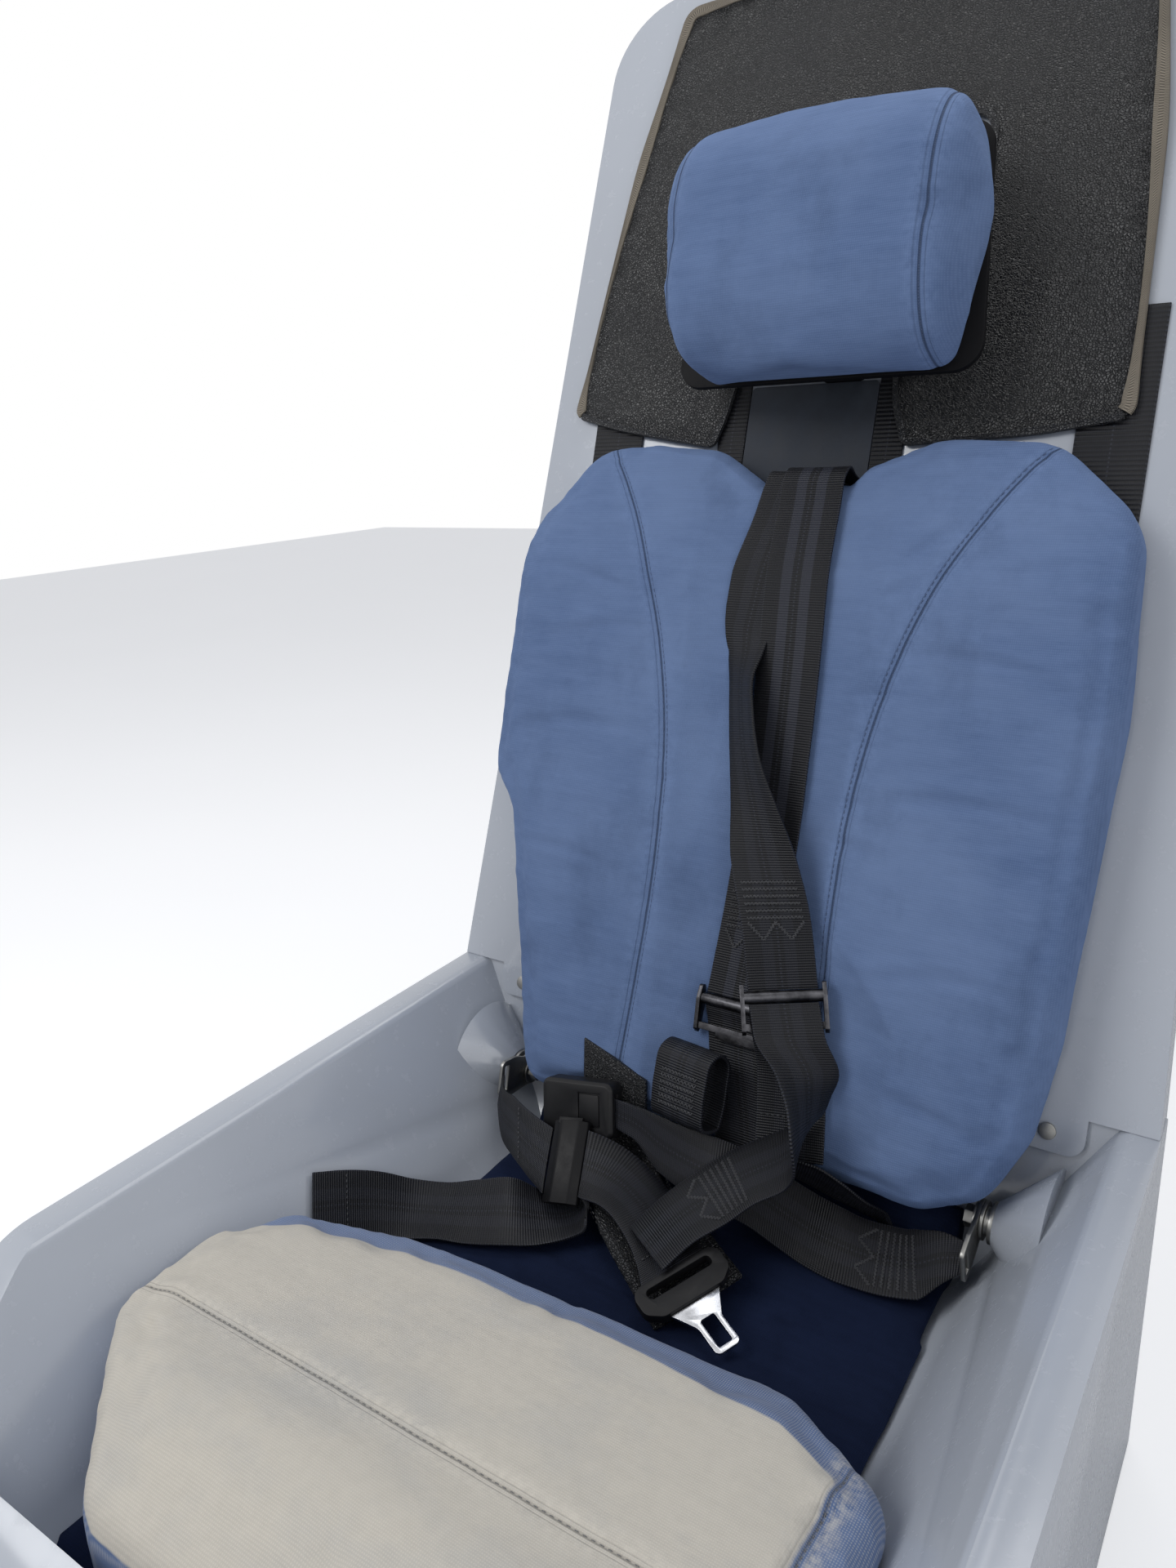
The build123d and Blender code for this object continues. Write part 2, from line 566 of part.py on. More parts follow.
TONGUE = Plane(origin=(38, -142, 22.5), x_dir=(-0.472, -0.863, -0.181), z_dir=(0.098, -0.255, 0.962))
LOCK = Plane(origin=(-89.9, -98, 48), x_dir=(0.23, -0.68, -0.69), z_dir=(0.06, -0.7, 0.711))
SLIDE_LEFT = Plane(origin=(14, 149, 66.5), x_dir=(1, 0, 0), z_dir=(0, 0, 1))
SLIDE_RIGHT = Plane(origin=(58, 168, 82), x_dir=(0.885, 0.201, -0.423), z_dir=(0.394, 0.167, 0.904))
BUCKLE = Location((-99, 50, 81.8), (0, 0, 10))


def buckle():
    """A moulded housing with chamfered edges, a mouth for the tongue and a release button."""
    body = Box(66, 44, 17)
    body = fillet(body.edges().filter_by(Axis.Z), 7)
    body = chamfer(body.faces().sort_by(Axis.Z)[-1].edges(), 2.5)
    body = body - Pos(31, 0, 1) * Box(14, 26, 4)
    body = body - Pos(12, 0, 8.5) * Box(20, 26, 3)
    body = body + Pos(12, 0, 7.4) * Box(18, 24, 2)
    return on_back(BUCKLE * body)


def tongue_frame():
    """A moulded loop round the webbing's slot."""
    points = [(-35, -14), (35, -14), (35, 6), (24, 14), (-24, 14), (-35, 6)]
    body = Pos(0, 0, -4) * extrude(outline(points, [9, 9, 8, 8, 8, 8]), 8)
    slot = Pos(0, 0, -6) * extrude(outline([(-26, -9), (26, -9), (26, -1), (-26, -1)], 3.5), 12)
    return on_seat(TONGUE.location * (body - slot))


def tongue_plate():
    """The steel blade: wide shoulders, a narrow neck and the latch's hole."""
    points = [(-20, 14 + FIT), (20, 14 + FIT), (17, 19), (9.5, 32), (9.5, TONGUE_REACH), (-9.5, TONGUE_REACH),
              (-9.5, 32), (-17, 19)]
    body = Pos(0, 0, -1.5) * extrude(outline(points, [0, 0, 4, 9, 4, 4, 9, 4]), 2.6)
    hole = outline([(-5.5, 28), (5.5, 28), (5.5, 50), (-5.5, 50)], 1.5)
    return on_seat(TONGUE.location * (body - Pos(0, 0, -4) * extrude(hole, 8)))


def lap_adjuster():
    """A tilt-lock slide: a bowed plate with its steel bar and the lifting lip."""
    points = [(-15, -3), (-15, 1), (-6, 6), (8, 6), (15, 2), (15, -3)]
    body = extrude(Plane.YZ * outline(points, [1, 3, 5, 5, 3, 1]), 31, both=True)
    inner = Pos(0, 1, -1) * Box(WEB + 2, 20, 9)
    bar = Pos(0, 1, 0) * Box(WEB + 4, 5, 4)
    lip = Pos(-31, 0, 2) * Box(5, 20, 5)
    return on_seat(LOCK.location * (body - inner + bar + lip))


def sewn_loop():
    """The end of the left strap, folded back on itself and stitched into a standing loop."""
    outer = outline([(64.4, -15), (64.4, 15), (125, 13), (125, -15)], [12, 9, 12, 12])
    inner = outline([(74, -12), (74, 9), (120, 8), (120, -12)], [8, 4, 8, 9])
    loop = extrude(Plane.YZ * (outer - inner), WEB / 2, both=True)
    return on_back(Pos(-6, 0, 84) * (Rotation(0, -13, 0) * loop))


def shoulder_anchor():
    """Behind the panel: a bar between two cheeks, each on its own flange."""
    back = -PANEL_BACK - PANEL_SKIN - FIT
    low, high = BAR_UP - 14, BAR_UP + 26
    bar = Plane.YZ.offset(SLOT_SIDES[0] - 6) * (Pos(BAR_UP, BAR_BACK) * Circle(BAR_RADIUS))
    body = BACK.location * extrude(bar, SLOT_SIDES[1] - SLOT_SIDES[0] + 12)
    for side, edge in zip((-1, 1), SLOT_SIDES):
        near, far = sorted((edge + side * 3, edge + side * 28))
        body = body + plate([(near, low), (far, low), (far, high), (near, high)], 3, back - 3, back)
        near, far = sorted((edge + side * 3, edge + side * 6))
        cheek = [(near, low), (far, low), (far, high - 20), (near, high - 20)]
        body = body + plate(cheek, 0, BAR_BACK - 8, back)
    return body


def hanger_plate():
    """The narrow hangers end in this plate, which straddles the headrest's rail."""
    low, high, margin = 704, 734, 30
    left, right = NARROW_SIDES[0] - NARROW_WEB / 2 - 4, NARROW_SIDES[1] + margin
    base = plate([(left, low), (right, low), (right, high), (left, high)], 6, -PANEL_BACK + FIT, 1.5)
    gap = RAIL_HALF + 1
    return base - plate([(-gap, low - 14), (gap, low - 14), (gap, high + 16), (-gap, high + 16)], 0, -4, 4)


def panel_screws():
    screws = []
    for across in (-230, -110, 0, 110, 230):
        head = Cylinder(6, 1.9)
        screws.append(on_back(Pos(across, 112, -PANEL_BACK / 2) * head))
    return Compound(screws)


# Build and save

os.makedirs("parts", exist_ok=True)
save(seat_pan(), "seat_pan")
save(rear_panel(), "rear_panel")
save(base_pad(), "base_pad")
save(thigh_cushion(), "thigh_cushion")
save(back_cushion(), "back_cushion")
save(leather_cover(), "leather_cover")
save(headrest_pad(), "headrest_pad")
save(headrest_rail(), "headrest_rail")
save(headrest_carrier(), "headrest_carrier")
save(on_back(webbing(SHOULDER_RIGHT)), "shoulder_strap_right")
save(on_back(webbing(SHOULDER_LEFT)), "shoulder_strap_left")
save(on_back(webbing(LOWER_LEFT)), "lower_strap_left")
save(on_back(webbing(STRAP_TAIL)), "strap_tail")
save(on_seat(webbing(LOWER_RIGHT)), "lower_strap_right")
save(on_seat(webbing(LAP_RIGHT)), "lap_belt_right")
save(on_seat(webbing(LAP_LEFT)), "lap_belt_left")
save(on_seat(webbing(LAP_INNER)), "lap_belt_inner")
save(on_seat(webbing(LAP_TAIL)), "lap_belt_tail")
save(on_seat(webbing(STRAP_ARCH)), "strap_arch")
save(on_seat(webbing(TONGUE_PAD, PAD_LEATHER)), "tongue_pad")
save(sewn_loop(), "sewn_loop")
for side, word, turn, narrow in ((-1, "left", -16, NARROW_SIDES[0]), (1, "right", 18, NARROW_SIDES[1])):
    save(anchor_bolt(side), f"anchor_bolt_{word}")
    save(anchor_bracket(side, turn), f"anchor_bracket_{word}")
    for place, stations, kind in ((side * HANGER_SIDE, HANGER, "cushion"), (narrow, NARROW_HANGER, "narrow")):
        strap = [(place * x, v, n, a, b, c, wide) for x, v, n, a, b, c, wide in stations]
        save(on_back(webbing(strap, 2)), f"{kind}_hanger_{word}")
save(on_back(SLIDE_LEFT.location * adjuster()), "adjuster_left")
save(on_back(SLIDE_RIGHT.location * adjuster()), "adjuster_right")
save(buckle(), "buckle")
save(tongue_frame(), "tongue_frame")
save(tongue_plate(), "tongue_plate")
save(lap_adjuster(), "lap_adjuster")
save(shoulder_anchor(), "shoulder_anchor")
save(notch_board(), "notch_board")
save(hanger_plate(), "hanger_plate")
save(panel_screws(), "panel_screws")
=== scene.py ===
import math

import bpy
from bpy.props import FloatProperty, FloatVectorProperty, IntProperty, PointerProperty
from mathutils import Matrix, Vector, noise


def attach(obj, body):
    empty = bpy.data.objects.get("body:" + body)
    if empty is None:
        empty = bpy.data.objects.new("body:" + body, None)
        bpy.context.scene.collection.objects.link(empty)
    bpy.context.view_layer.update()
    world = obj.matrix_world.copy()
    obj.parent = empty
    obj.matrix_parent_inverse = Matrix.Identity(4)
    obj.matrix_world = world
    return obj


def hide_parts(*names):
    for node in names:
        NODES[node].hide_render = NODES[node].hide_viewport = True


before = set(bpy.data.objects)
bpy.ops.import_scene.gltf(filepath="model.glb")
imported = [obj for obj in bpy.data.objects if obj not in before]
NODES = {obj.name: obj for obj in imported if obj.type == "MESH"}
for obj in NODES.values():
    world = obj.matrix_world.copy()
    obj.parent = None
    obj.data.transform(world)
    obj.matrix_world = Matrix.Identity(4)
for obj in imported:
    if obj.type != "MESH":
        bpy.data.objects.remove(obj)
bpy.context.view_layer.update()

bl_info = {
    "name": "Aircraft Seat",
    "version": (1, 0, 0),
    "blender": (4, 5, 0),
    "location": "View3D > Sidebar > Seat",
    "description": "Upholstery, harness and finishes of a light aircraft's pilot seat",
    "category": "Object",
}

# The backrest's own frame: across, up its slope and forward of the cushion's back, in millimetres
LEAN = math.radians(18.8)
BOLT_Y = 85.178
PAD_TOP = 170.0
UP_SLOPE = Vector((0, math.sin(LEAN), math.cos(LEAN)))
FORWARD = Vector((0, -math.cos(LEAN), math.sin(LEAN)))
DOWNWARD = Vector((0, 0, -1))
WEB = 50.0

# Seams of the cushions, in metres
SEAM_WAIST = 0.2447
SEAM_SIDE = 0.0754
SEAM_BEND = 0.4475
SEAM_FLARE = 1.326
THIGH_SEAM = (BOLT_Y - 376) / 1000
THIGH_END = 0.205
HEADREST_SEAM = 0.096


def from_back(u, v, n):
    place = Vector((u, BOLT_Y, PAD_TOP)) + UP_SLOPE * v + FORWARD * n
    return place / 1000


def from_seat(x, y, z):
    return Vector((x, BOLT_Y + y, PAD_TOP + z)) / 1000


def to_back(place):
    """Across, up the slope and forward, in millimetres, of a place in metres."""
    local = place * 1000 - Vector((0, BOLT_Y, PAD_TOP))
    return local.x, local.dot(UP_SLOPE), local.dot(FORWARD)


# ---------------------------------------------------------------- sizes and colours

def tint(label, note, colour):
    return FloatVectorProperty(name=label, description=note, default=colour, subtype="COLOR", size=3, min=0, max=1)


def measure(label, note, value, low, high):
    return FloatProperty(name=label, description=note, default=value, min=low, max=high, unit="LENGTH")


class SeatSizes(bpy.types.PropertyGroup):
    cushion_voxel: measure("Cushion voxel", "Cell of the remeshed cushions", 0.005, 0.003, 0.01)
    cushion_swell: measure("Cushion swell", "How far a point of a cushion may move out", 0.009, 0, 0.03)
    seam_depth: measure("Seam depth", "How deep the seams pull into the foam", 0.0032, 0, 0.01)
    stitch_pitch: measure("Stitch pitch", "From one stitch to the next on the cushions", 0.0044, 0.002, 0.01)
    web_thick: measure("Webbing thickness", "Thickness of the harness webbing", 0.0019, 0.001, 0.004)
    frames: IntProperty(name="Simulated frames", description="Frames for which the cushions swell",
                        default=20, min=2, max=60)


class SeatColours(bpy.types.PropertyGroup):
    suede: tint("Suede cloth", "Napped cloth of the cushions", (0.088, 0.140, 0.270))
    suede_worn: tint("Worn suede", "Where the nap is brushed or faded", (0.142, 0.207, 0.360))
    faded: tint("Faded suede", "Sun-faded top of the thigh cushion", (0.60, 0.56, 0.485))
    navy: tint("Base pad", "Dark cloth of the base pad", (0.0072, 0.0112, 0.0280))
    leather: tint("Leather", "Cover and belt pad", (0.0105, 0.0112, 0.0132))
    webbing: tint("Webbing", "Harness webbing", (0.0062, 0.0067, 0.0092))
    moulding: tint("Moulding", "Gelcoat of the pan and rear panel", (0.46, 0.49, 0.54))
    binding: tint("Binding", "Woven binding with its zip", (0.26, 0.225, 0.175))


def sizes():
    return bpy.context.scene.seat_sizes


def colours():
    return bpy.context.scene.seat_colours


# ---------------------------------------------------------------- materials

def put(tree, kind, inputs, **settings):
    """A shader node with its settings made and its inputs set or joined."""
    made = tree.nodes.new("ShaderNode" + kind)
    for name, value in settings.items():
        setattr(made, name, value)
    for name, value in inputs.items():
        socket = made.inputs[name]
        if isinstance(value, bpy.types.NodeSocket):
            tree.links.new(value, socket)
        else:
            socket.default_value = value
    return made


def shade(name):
    """The named material: it is made once, and its node tree comes back while it is still empty."""
    found = bpy.data.materials.get(name)
    if found:
        return found, None
    made = bpy.data.materials.new(name)
    made.use_nodes = True
    made.node_tree.nodes.clear()
    return made, made.node_tree


def close(tree, **inputs):
    """The surface shader and the output. Underscores in the names stand for spaces."""
    named = {key.replace("_", " "): value for key, value in inputs.items()}
    surface = put(tree, "BsdfPrincipled", named)
    put(tree, "OutputMaterial", {"Surface": surface.outputs[0]})


def math_node(tree, operation, first, second=0.0):
    return put(tree, "Math", {0: first, 1: second}, operation=operation).outputs[0]


def times(tree, first, second):
    return math_node(tree, "MULTIPLY", first, second)


def plus(tree, first, second):
    return math_node(tree, "ADD", first, second)


def minus(tree, first, second):
    return math_node(tree, "SUBTRACT", first, second)


def greater(tree, first, second):
    return math_node(tree, "MAXIMUM", first, second)


def sine(tree, angle):
    return math_node(tree, "SINE", angle)


def mixed(tree, factor, first, second):
    made = tree.nodes.new("ShaderNodeMix")
    made.data_type = "RGBA"
    for index, value in ((0, factor), (6, first), (7, second)):
        if isinstance(value, bpy.types.NodeSocket):
            tree.links.new(value, made.inputs[index])
        else:
            made.inputs[index].default_value = value
    return made.outputs[2]


def spread(tree, value, low, high, to_low=0.0, to_high=1.0):
    made = put(tree, "MapRange", {"Value": value, "From Min": low, "From Max": high, "To Min": to_low,
                                  "To Max": to_high})
    return made.outputs[0]


def cloud(tree, where, scale, detail=3.0, rough=0.5):
    made = put(tree, "TexNoise", {"Vector": where, "Scale": scale, "Detail": detail, "Roughness": rough})
    return made.outputs[0]


def bumped(tree, height, strength, distance, over=None):
    """A normal raised by a height pattern, on top of an earlier one."""
    inputs = {"Height": height, "Strength": strength, "Distance": distance}
    if over:
        inputs["Normal"] = over
    return put(tree, "Bump", inputs).outputs[0]


def rgba(colour):
    return (*colour, 1.0)


def scaled(colour, by):
    return tuple(min(1.0, part * by) for part in colour) + (1.0,)


def stretch(tree, where, scale):
    return put(tree, "Mapping", {"Vector": where, "Scale": scale}).outputs[0]


def from_line(tree, value, line):
    """How far a coordinate is from a value, either side."""
    return math_node(tree, "ABSOLUTE", minus(tree, value, line))


def back_seams(tree, where):
    """Distance in metres from the back cushion's curved seams, on its front."""
    parts = put(tree, "SeparateXYZ", {0: where}).outputs
    height = minus(tree, parts[2], PAD_TOP / 1000)
    depth = minus(tree, parts[1], BOLT_Y / 1000)
    up = plus(tree, times(tree, height, UP_SLOPE.z),
                   times(tree, depth, UP_SLOPE.y))
    up = minus(tree, up, SEAM_WAIST)
    squared = times(tree, up, up)
    side = plus(tree, times(tree, squared, SEAM_BEND), SEAM_SIDE)
    cubed = times(tree, times(tree, squared, up), SEAM_FLARE)
    away = from_line(tree, math_node(tree, "ABSOLUTE", parts[0]), plus(tree, side, cubed))
    front = plus(tree, times(tree, height, FORWARD.z),
                      times(tree, depth, FORWARD.y))
    return plus(tree, away, spread(tree, front, 0.012, 0.020, 0.05, 0.0))


def thigh_seams(tree, where):
    """Distance from the thigh cushion's cross seam and end seam, on its top."""
    parts = put(tree, "SeparateXYZ", {0: where}).outputs
    cross = from_line(tree, parts[1], THIGH_SEAM)
    end = from_line(tree, parts[0], THIGH_END)
    return math_node(tree, "MINIMUM", cross, end)


def headrest_seams(tree, where):
    """Distance from the two rings near the headrest's ends."""
    parts = put(tree, "SeparateXYZ", {0: where}).outputs
    return from_line(tree, math_node(tree, "ABSOLUTE", parts[0]), HEADREST_SEAM)


def suede(name, deep, worn, faded=None, seams=None, second=0.0036, weft_along="Z", sheen=0.25, gloss=0.20):
    """Napped cloth: brushed clouds, streaks along the weave, a soft sheen, and its seams, each a folded line with
    a fainter needle line beside it, both darkened with painted shade, and a patchy band of painted highlight on
    the puckers either side."""
    made, tree = shade(name)
    if tree is None:
        return made
    where = put(tree, "TexCoord", {}).outputs["Object"]
    clouds = spread(tree, cloud(tree, where, 7.0, 6.0, 0.60), 0.36, 0.66)
    brushed = spread(tree, cloud(tree, stretch(tree, where, (0.16, 1, 1)), 150.0, 5.0, 0.68), 0.30, 0.74)
    blotch = spread(tree, cloud(tree, stretch(tree, where, (1, 1, 0.6)), 17.0, 6.0, 0.62), 0.53, 0.72)
    colour = mixed(tree, clouds, rgba(deep), rgba(worn))
    colour = mixed(tree, times(tree, brushed, 0.38), colour, scaled(worn, 1.22))
    colour = mixed(tree, times(tree, blotch, 0.42), colour, scaled(deep, 0.62))
    if faded:
        fade = put(tree, "Attribute", {}, attribute_name="fade").outputs["Fac"]
        stain = spread(tree, cloud(tree, stretch(tree, where, (0.7, 1, 1)), 14.0, 6.0, 0.6), 0.48, 0.66)
        speck = spread(tree, cloud(tree, where, 120.0, 4.0, 0.6), 0.40, 0.72)
        bleached = mixed(tree, times(tree, stain, 0.34), rgba(faded), (0.36, 0.38, 0.40, 1))
        bleached = mixed(tree, times(tree, speck, 0.18), bleached, scaled(faded, 0.72))
        patchy = plus(tree, fade, spread(tree, cloud(tree, where, 40.0, 5.0, 0.6), 0.2, 0.8, -0.07, 0.07))
        colour = mixed(tree, spread(tree, patchy, 0.36, 0.62), colour, bleached)
    warp = put(tree, "TexWave", {"Vector": where, "Scale": 230.0, "Distortion": 0.8, "Detail": 1.0},
               wave_type="BANDS", bands_direction="X").outputs[1]
    weft = put(tree, "TexWave", {"Vector": where, "Scale": 210.0, "Distortion": 0.8, "Detail": 1.0},
               wave_type="BANDS", bands_direction=weft_along).outputs[1]
    weave = times(tree, warp, weft)
    colour = mixed(tree, spread(tree, weave, 0, 1, 0.0, 0.36), colour, scaled(faded or worn, 1.35))
    nap = cloud(tree, where, 900.0, 2.0, 0.6)
    height = plus(tree, times(tree, weave, 0.6), times(tree, nap, 0.8))
    bump = bumped(tree, height, 0.30, 0.0006)
    ruck = cloud(tree, stretch(tree, where, (0.22, 1, 1)), 46.0, 3.0, 0.5)
    bump = bumped(tree, ruck, 0.5, 0.0030, bump)
    if seams:
        away = seams(tree, where)
        fold = spread(tree, away, 0.0002, 0.0011, 1, 0)
        beside = spread(tree, from_line(tree, away, second), 0.0001, 0.0007, 0.3, 0)
        lines = greater(tree, fold, beside)
        # Painted highlight: a patchy lighter band on the puckers either side of each seam
        pucker_highlight = cloud(tree, where, 220.0, 2.0, 0.6)
        band = times(tree, spread(tree, away, 0.0012, 0.003), spread(tree, away, 0.005, 0.014, 1, 0))
        colour = mixed(tree, times(tree, band, spread(tree, pucker_highlight, 0.35, 0.65, 0.0, 0.45)), colour,
                       scaled(faded or worn, 1.25))
        # Painted shade: the seam's fold and its needle line are darkened in colour, and the same lines also sink
        # the bump
        colour = mixed(tree, times(tree, lines, 0.28 if faded else 0.70), colour,
                       scaled(faded or deep, 0.30))
        bump = bumped(tree, times(tree, lines, -1.0), 0.8, 0.0012, bump)
    close(tree, Base_Color=colour, Roughness=spread(tree, clouds, 0, 1, 0.86, 0.96), Normal=bump,
          Sheen_Weight=sheen, Sheen_Roughness=0.45, Sheen_Tint=scaled(faded or worn, 1.6),
          Specular_IOR_Level=gloss)
    return made


def leather(name="grained_leather", tone=1.0):
    """Black leather with a pebbled grain, stretch lines and rubbed, duller places."""
    made, tree = shade(name)
    if tree is None:
        return made
    colour = tuple(part * tone for part in colours().leather)
    where = put(tree, "TexCoord", {}).outputs["Object"]
    wander = put(tree, "TexNoise", {"Vector": where, "Scale": 170.0, "Detail": 2.0}).outputs[1]
    bent = put(tree, "VectorMath", {0: wander, "Scale": 0.004}, operation="SCALE").outputs[0]
    where_bent = put(tree, "VectorMath", {0: where, 1: bent}, operation="ADD").outputs[0]
    pebbles = put(tree, "TexVoronoi", {"Vector": where_bent, "Scale": 520.0},
                  feature="DISTANCE_TO_EDGE").outputs[0]
    grain = spread(tree, pebbles, 0.0, 0.22)
    creases = cloud(tree, stretch(tree, where, (1, 0.4, 0.5)), 22.0, 6.0, 0.6)
    height = plus(tree, times(tree, grain, 0.9), times(tree, creases, 1.0))
    bump = bumped(tree, height, 0.85, 0.0009)
    worn = spread(tree, cloud(tree, where, 11.0, 4.0), 0.35, 0.7)
    shown = mixed(tree, worn, rgba(colour), scaled(colour, 1.6))
    shown = mixed(tree, spread(tree, grain, 0, 1, 0.75, 0.0), shown, scaled(colour, 0.3))
    close(tree, Base_Color=shown, Roughness=spread(tree, worn, 0, 1, 0.28, 0.46), Normal=bump,
          Specular_IOR_Level=0.40)
    return made


def webbing(name="ribbed_webbing", stripe=0.25, rib=0.0019):
    """Ribs across the strap, two brighter bands and the dashed yarn along its middle, all on the strap's UV map
    in metres: across, along."""
    made, tree = shade(name)
    if tree is None:
        return made
    colour = colours().webbing
    flat = put(tree, "UVMap", {}, uv_map="UVMap").outputs[0]
    parts = put(tree, "SeparateXYZ", {0: flat})
    across, along = parts.outputs[0], parts.outputs[1]
    ribs = sine(tree, times(tree, along, 2 * math.pi / rib))
    yarns = sine(tree, times(tree, across, 2 * math.pi / 0.0014))
    side = math_node(tree, "ABSOLUTE", across)
    band = times(tree, spread(tree, side, 0.0034, 0.0042), spread(tree, side, 0.0116, 0.0124, 1, 0))
    dash = times(tree, spread(tree, side, 0.0004, 0.0008, 1, 0),
                     math_node(tree, "GREATER_THAN", sine(tree, times(tree, along, 2 * math.pi / 0.0032)), 0.1))
    selvedge = spread(tree, side, 0.0236, 0.0244)
    where = put(tree, "TexCoord", {}).outputs["Object"]
    dust = spread(tree, cloud(tree, where, 34.0, 5.0, 0.65), 0.45, 0.78)
    shown = mixed(tree, spread(tree, ribs, -1, 1), scaled(colour, 0.55), scaled(colour, 1.5))
    shown = mixed(tree, times(tree, band, stripe), shown, scaled(colour, 4.6))
    shown = mixed(tree, times(tree, dust, 0.16), shown, scaled(colour, 3.2))
    edge = times(tree, selvedge, spread(tree, ribs, -0.2, 0.6))
    shown = mixed(tree, times(tree, greater(tree, dash, edge), 0.40), shown, scaled(colour, 8.0))
    height = plus(tree, ribs, times(tree, yarns, 0.3))
    bump = bumped(tree, height, 0.6, 0.0003)
    close(tree, Base_Color=shown, Roughness=spread(tree, dust, 0, 1, 0.44, 0.60), Normal=bump,
          Specular_IOR_Level=0.24)
    return made


def binding_tape(name="woven_binding"):
    """Tape folded over the leather's edge, with the closed zip's coils along it."""
    made, tree = shade(name)
    if tree is None:
        return made
    colour = colours().binding
    flat = put(tree, "UVMap", {}, uv_map="UVMap").outputs[0]
    parts = put(tree, "SeparateXYZ", {0: flat})
    across, along = parts.outputs[0], parts.outputs[1]
    side = math_node(tree, "ABSOLUTE", across)
    coil = sine(tree, times(tree, along, 2 * math.pi / 0.0019))
    inside = spread(tree, side, 0.0016, 0.0019, 1, 0)
    weave = sine(tree, times(tree, along, 2 * math.pi / 0.0009))
    pattern = mixed(tree, inside, spread(tree, weave, -1, 1), spread(tree, coil, -0.3, 0.8))
    where = put(tree, "TexCoord", {}).outputs["Object"]
    grime = spread(tree, cloud(tree, where, 30.0, 4.0), 0.3, 0.75)
    shown = mixed(tree, pattern, scaled(colour, 0.4), scaled(colour, 1.35))
    shown = mixed(tree, times(tree, grime, 0.45), shown, scaled(colour, 0.35))
    bump = bumped(tree, pattern, 0.7, 0.0005)
    close(tree, Base_Color=shown, Roughness=0.78, Normal=bump)
    return made


def gelcoat(name="grey_gelcoat"):
    """Glossy laminate with a faint ripple, dust and fine scuffs."""
    made, tree = shade(name)
    if tree is None:
        return made
    colour = colours().moulding
    where = put(tree, "TexCoord", {}).outputs["Object"]
    broad = spread(tree, cloud(tree, where, 3.5, 4.0), 0.3, 0.7)
    dust = spread(tree, cloud(tree, where, 90.0, 6.0, 0.7), 0.5, 0.8)
    scuff = spread(tree, cloud(tree, stretch(tree, where, (1, 0.12, 1)), 160.0, 4.0, 0.75), 0.62, 0.72)
    shown = mixed(tree, broad, scaled(colour, 0.93), scaled(colour, 1.06))
    shown = mixed(tree, times(tree, dust, 0.06), shown, (0.44, 0.43, 0.41, 1))
    rough = plus(tree, spread(tree, dust, 0, 1, 0.20, 0.42), times(tree, scuff, 0.05))
    ripple = cloud(tree, where, 26.0, 2.0)
    bump = bumped(tree, ripple, 0.12, 0.002)
    close(tree, Base_Color=shown, Roughness=rough, Normal=bump, Coat_Weight=0.35, Coat_Roughness=0.12)
    return made


def hard(name, colour, rough, metallic=0.0, worn=None, scale=60.0, streaks=(1, 1, 1), gloss=0.5):
    """Plastic or metal with uneven gloss, fine streaks and rubbed places."""
    made, tree = shade(name)
    if tree is None:
        return made
    where = put(tree, "TexCoord", {}).outputs["Object"]
    uneven = spread(tree, cloud(tree, where, scale, 5.0, 0.65), 0.35, 0.7)
    lines = cloud(tree, stretch(tree, where, streaks), 900.0, 3.0, 0.6)
    shown = mixed(tree, uneven, scaled(colour, 0.85), worn and rgba(worn) or scaled(colour, 1.25))
    rougher = plus(tree, spread(tree, uneven, 0, 1, rough - 0.06, rough + 0.08),
                        times(tree, lines, 0.1))
    bump = bumped(tree, lines, 0.14, 0.0003)
    close(tree, Base_Color=shown, Roughness=rougher, Metallic=metallic, Normal=bump, Specular_IOR_Level=gloss)
    return made


def thread(name, colour):
    made, tree = shade(name)
    if tree is None:
        return made
    where = put(tree, "TexCoord", {}).outputs["Object"]
    twist = put(tree, "TexWave", {"Vector": where, "Scale": 420.0, "Distortion": 1.0}, wave_type="BANDS",
                bands_direction="DIAGONAL").outputs[1]
    shown = mixed(tree, twist, scaled(colour, 0.7), scaled(colour, 1.3))
    bump = bumped(tree, twist, 0.5, 0.0002)
    close(tree, Base_Color=shown, Roughness=0.6, Normal=bump, Sheen_Weight=0.2)
    return made


# ---------------------------------------------------------------- making and finishing meshes

def alone(*objects):
    """Leaves only these selected, in object mode, with the first one active."""
    if bpy.context.object and bpy.context.object.mode != "OBJECT":
        bpy.ops.object.mode_set(mode="OBJECT")
    bpy.ops.object.select_all(action="DESELECT")
    for each in objects:
        each.select_set(True)
    if objects:
        bpy.context.view_layer.objects.active = objects[0]


def modify(piece, kind, **settings):
    alone(piece)
    added = piece.modifiers.new(kind, kind)
    for name, value in settings.items():
        setattr(added, name, value)
    bpy.ops.object.modifier_apply(modifier=added.name)


def smooth(piece, angle=40.0):
    alone(piece)
    bpy.ops.object.shade_smooth_by_angle(angle=math.radians(angle))


def complete(piece, material, slot, *nodes, body="seat"):
    """Gives the piece its finish and its body, and lets it stand for CAD nodes."""
    piece.data.materials.clear()
    piece.data.materials.append(material)
    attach(piece, body)
    if nodes:
        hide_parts(*nodes)


